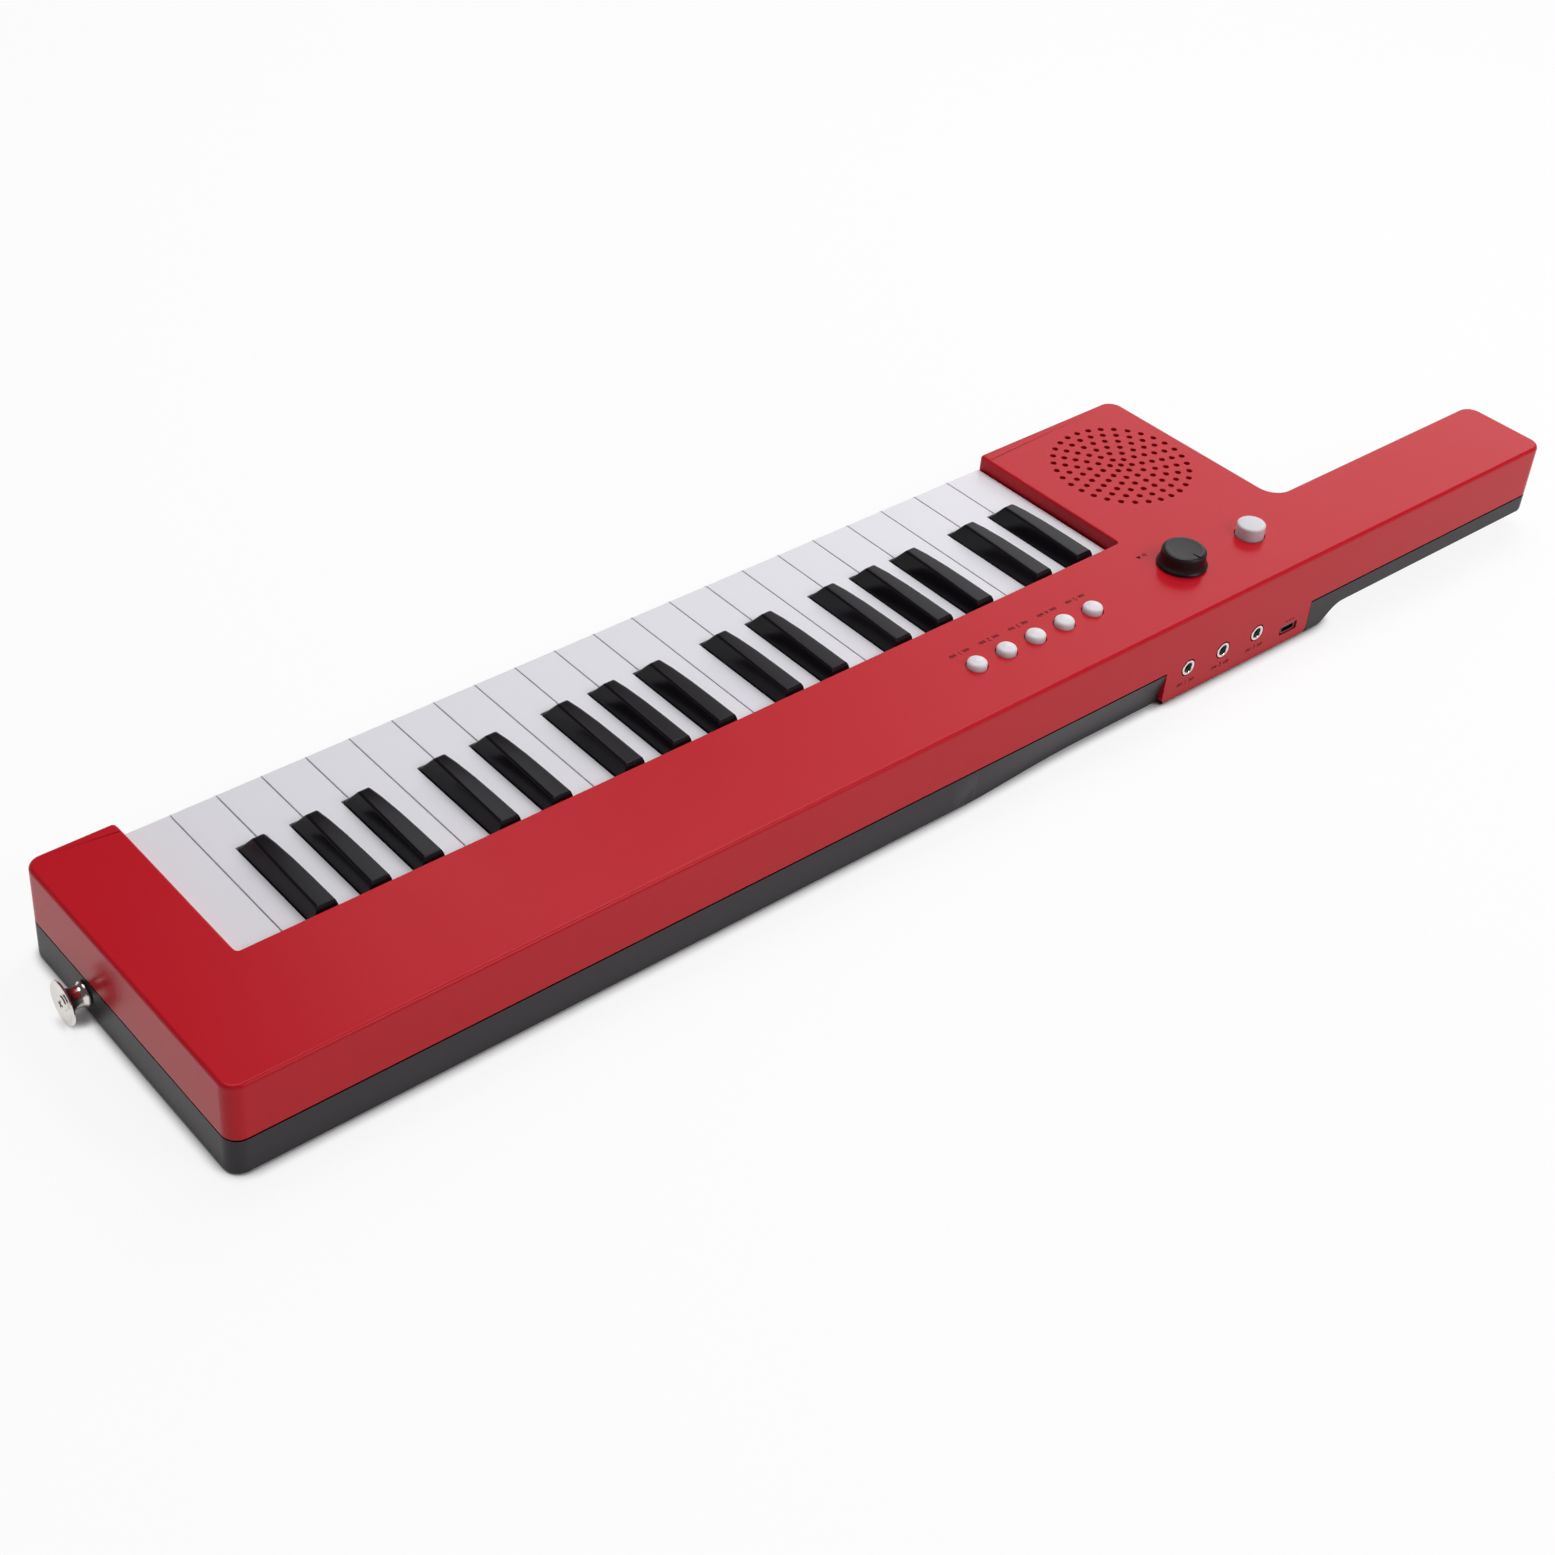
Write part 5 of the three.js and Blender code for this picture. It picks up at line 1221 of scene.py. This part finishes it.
wheelSizes = {"rimCut": 0.3, "place": (-650.5, -22.1, 17.9), "radius": 13, "width": 7, "axle": 2,
              "axleReach": 7.4,
              "rim": 2.5, "grooves": 24, "groove": 0.75}


def makeWheel(sizes):
    half, radius, hub = sizes["width"] / 2, sizes["radius"], sizes["radius"] - sizes["rim"]
    cut = sizes["rimCut"]
    profile = [(sizes["axle"] - cut, -sizes["axleReach"]), (sizes["axle"], -sizes["axleReach"] + cut),
               (sizes["axle"], -half + 1), (hub - 0.5, -half + 1), (hub, -half + 0.2), (hub + cut, -half),
               (radius - 1, -half), (radius - cut, -half + cut), (radius, -half + 1), (radius, half - 1),
               (radius - cut, half - cut), (radius - 1, half), (hub + cut, half), (hub, half - 0.2),
               (hub - 0.5, half - 1), (sizes["axle"], half - 1), (sizes["axle"], sizes["axleReach"] - cut),
               (sizes["axle"] - cut, sizes["axleReach"])]
    wheel = turnedPiece("grooved_wheel", profile, (0, 0, 0), sides=fineSides)
    grooves = []
    for i in range(sizes["grooves"]):
        angle = 2 * math.pi * i / sizes["grooves"]
        place = Vector((math.cos(angle), math.sin(angle), 0)) * (radius + 0.15) * mm
        grooves.append(addRound("groove", place, sizes["groove"], sizes["width"] + 2, 10))
    cutAway(wheel, joined(grooves))
    wheel.rotation_euler = (math.radians(90), 0, 0)
    wheel.location = at(*sizes["place"])
    settle(wheel, "grooved_wheel")
    shadeByAngle(wheel, turnedAngle)
    return wheel


dress(makeWheel(wheelSizes), innerDark, "frame_plastic", "pitch_wheel", "pitch_wheel")
print("pitch wheel is made")


# Screws in the underside

screwSizes = {"radius": 2.75, "top": 0.75, "edge": 0.5, "seat": 2.02, "crossWidth": 0.55, "crossLength": 3.2,
              "crossDepth": 0.8, "turn": 17, "turnStep": 23}


def makeScrew(name, sizes, x, y, z):
    foot = sizes["top"]
    radius = sizes["radius"]
    screw = turnedPiece(name, [(radius - 0.02, sizes["seat"]), (radius, foot + sizes["edge"]),
                               (radius - 0.15, foot + 0.2), (radius - sizes["edge"], foot),
                               (0.6, foot - 0.05)], (0, 0, 0), sides=screwSides)
    cutCross(screw, sizes, foot - 1, foot + sizes["crossDepth"])
    screw.rotation_euler = (0, 0, math.radians(sizes["turn"] + sizes["turnStep"] * x))
    screw.location = at(x, y, z)
    settle(screw, name)
    shadeByAngle(screw, turnedAngle)
    return screw


for i, (x, y, z) in enumerate(traySizes["posts"]):
    dress(makeScrew(f"case_screw_{i + 1}", screwSizes, x, y, z), steel, "steel", "case")
print("screws are made")


# Plain numbers and marks where the photographed keytar has its captions

markSizes = {
    "size": 3.4, "raise": 0.03, "sink": 0.02, "row": -39.4, "ticks": (2.6, 3.5, 4.4, 5.3), "tickWidth": 0.5,
    "tickHeights": (1.9, 1.3, 1.9, 1.3), "jackSize": 3.4, "jackRow": 7.4, "arrow": (-498.6, -45.4, 1.5),
    "strokes": ((2.6, 0.8), (3.8, 1.3)),
    "dashes": (-2.2, 0, 2.2), "dashHalf": 0.7, "dashFoot": 4.2, "dashTop": 4.8,
}


def addNumber(name, text, size, turn, place):
    deselectAll()
    bpy.ops.object.text_add()
    letters = bpy.context.object
    letters.data.body = text
    letters.data.size = size * mm
    letters.data.align_x = "CENTER"
    letters.data.align_y = "CENTER"
    letters.data.extrude = markSizes["raise"] * mm
    letters.data.resolution_u = 4
    bpy.ops.object.convert(target="MESH")
    letters = bpy.context.object
    bpy.ops.object.mode_set(mode="EDIT")
    bpy.ops.mesh.select_all(action="SELECT")
    bpy.ops.mesh.remove_doubles(threshold=0.00001)
    leaveEdit()
    letters.rotation_euler = turn
    letters.location = place
    return settle(letters, name)


def tickPlaces(sizes, x):
    # short strokes either side of a number, like a plain scale
    strokes = list(zip(sizes["ticks"], sizes["tickHeights"]))
    return [(x + side * away, tall) for side in (-1, 1) for away, tall in strokes]


def makePanelMarks(sizes, controls, high):
    pieces = []
    low, up = high - sizes["sink"], high + sizes["raise"]
    for i, (x, y) in enumerate(controls["buttons"]):
        pieces.append(addNumber("number", str(len(controls["buttons"]) - i), sizes["size"], (0, 0, 0),
                                at(x, sizes["row"], high)))
        for middleX, tall in tickPlaces(sizes, x):
            pieces.append(addBlock("tick", at(middleX - sizes["tickWidth"] / 2, sizes["row"] - tall / 2, low),
                                   at(middleX + sizes["tickWidth"] / 2, sizes["row"] + tall / 2, up)))
    x, y, size = sizes["arrow"]
    pieces.append(turnedPiece("arrow", [(size, low), (size, up)], at(x, y, 0), (0, 0, 0), 3))
    for away, half in sizes["strokes"]:
        pieces.append(addBlock("stroke", at(x - away - sizes["tickWidth"], y - half, low),
                               at(x - away, y + half, up)))
    return joined(pieces)


def makeJackMarks(sizes, controls):
    pieces = []
    for i, x in enumerate(controls["jacks"]):
        pieces.append(addNumber("number", str(i + 1), sizes["jackSize"],
                                (math.radians(90), 0, math.radians(180)), at(x, 0, sizes["jackRow"])))
        for middleX, tall in tickPlaces(sizes, x):
            half = sizes["tickWidth"] / 2
            pieces.append(addBlock("tick", at(middleX - half, -sizes["sink"], sizes["jackRow"] - tall / 2),
                                   at(middleX + half, sizes["raise"], sizes["jackRow"] + tall / 2)))
    x, z = controls["usb"]
    for away in sizes["dashes"]:
        pieces.append(addBlock("dash",
                               at(x + away - sizes["dashHalf"], -sizes["sink"], z + sizes["dashFoot"]),
                               at(x + away + sizes["dashHalf"], sizes["raise"], z + sizes["dashTop"])))
    return joined(pieces)


panelMarks = settle(makePanelMarks(markSizes, controlSizes, caseSizes["top"]), "panel_marks")
dress(panelMarks, markInk, "black_plastic", "case")
jackMarks = settle(makeJackMarks(markSizes, controlSizes), "jack_marks")
dress(jackMarks, deepRed, "red_plastic", "case")
print("numbers and marks are made")


# Carried pieces

carried = {
    "upper_case": redCase, "lower_case": greyTray, "battery_door": greyTray, "key_frame": innerDark,
    "key_contact_board": boardGreen, "key_contact_rubber": contactRubber, "main_board": boardGreen,
    "speaker": innerDark, "volume_potentiometer": steel, "volume_knob": knobBlack, "power_button": powerWhite,
    "usb_socket": steel, "strap_pin_treble": nickel, "strap_pin_neck_side": nickel, "pitch_wheel": innerDark,
}
for name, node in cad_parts.items():
    paint = carried.get(name)
    if name.startswith("key_") and paint is None:
        paint = blackKeys if name.endswith("_sharp") else whiteKeys
    if name.startswith("panel_button"):
        paint = buttonWhite
    if name.startswith("audio_jack"):
        paint = nickel
    node.data.materials.clear()
    node.data.materials.append(paint)
print("materials are on the carried pieces")

deselectAll()
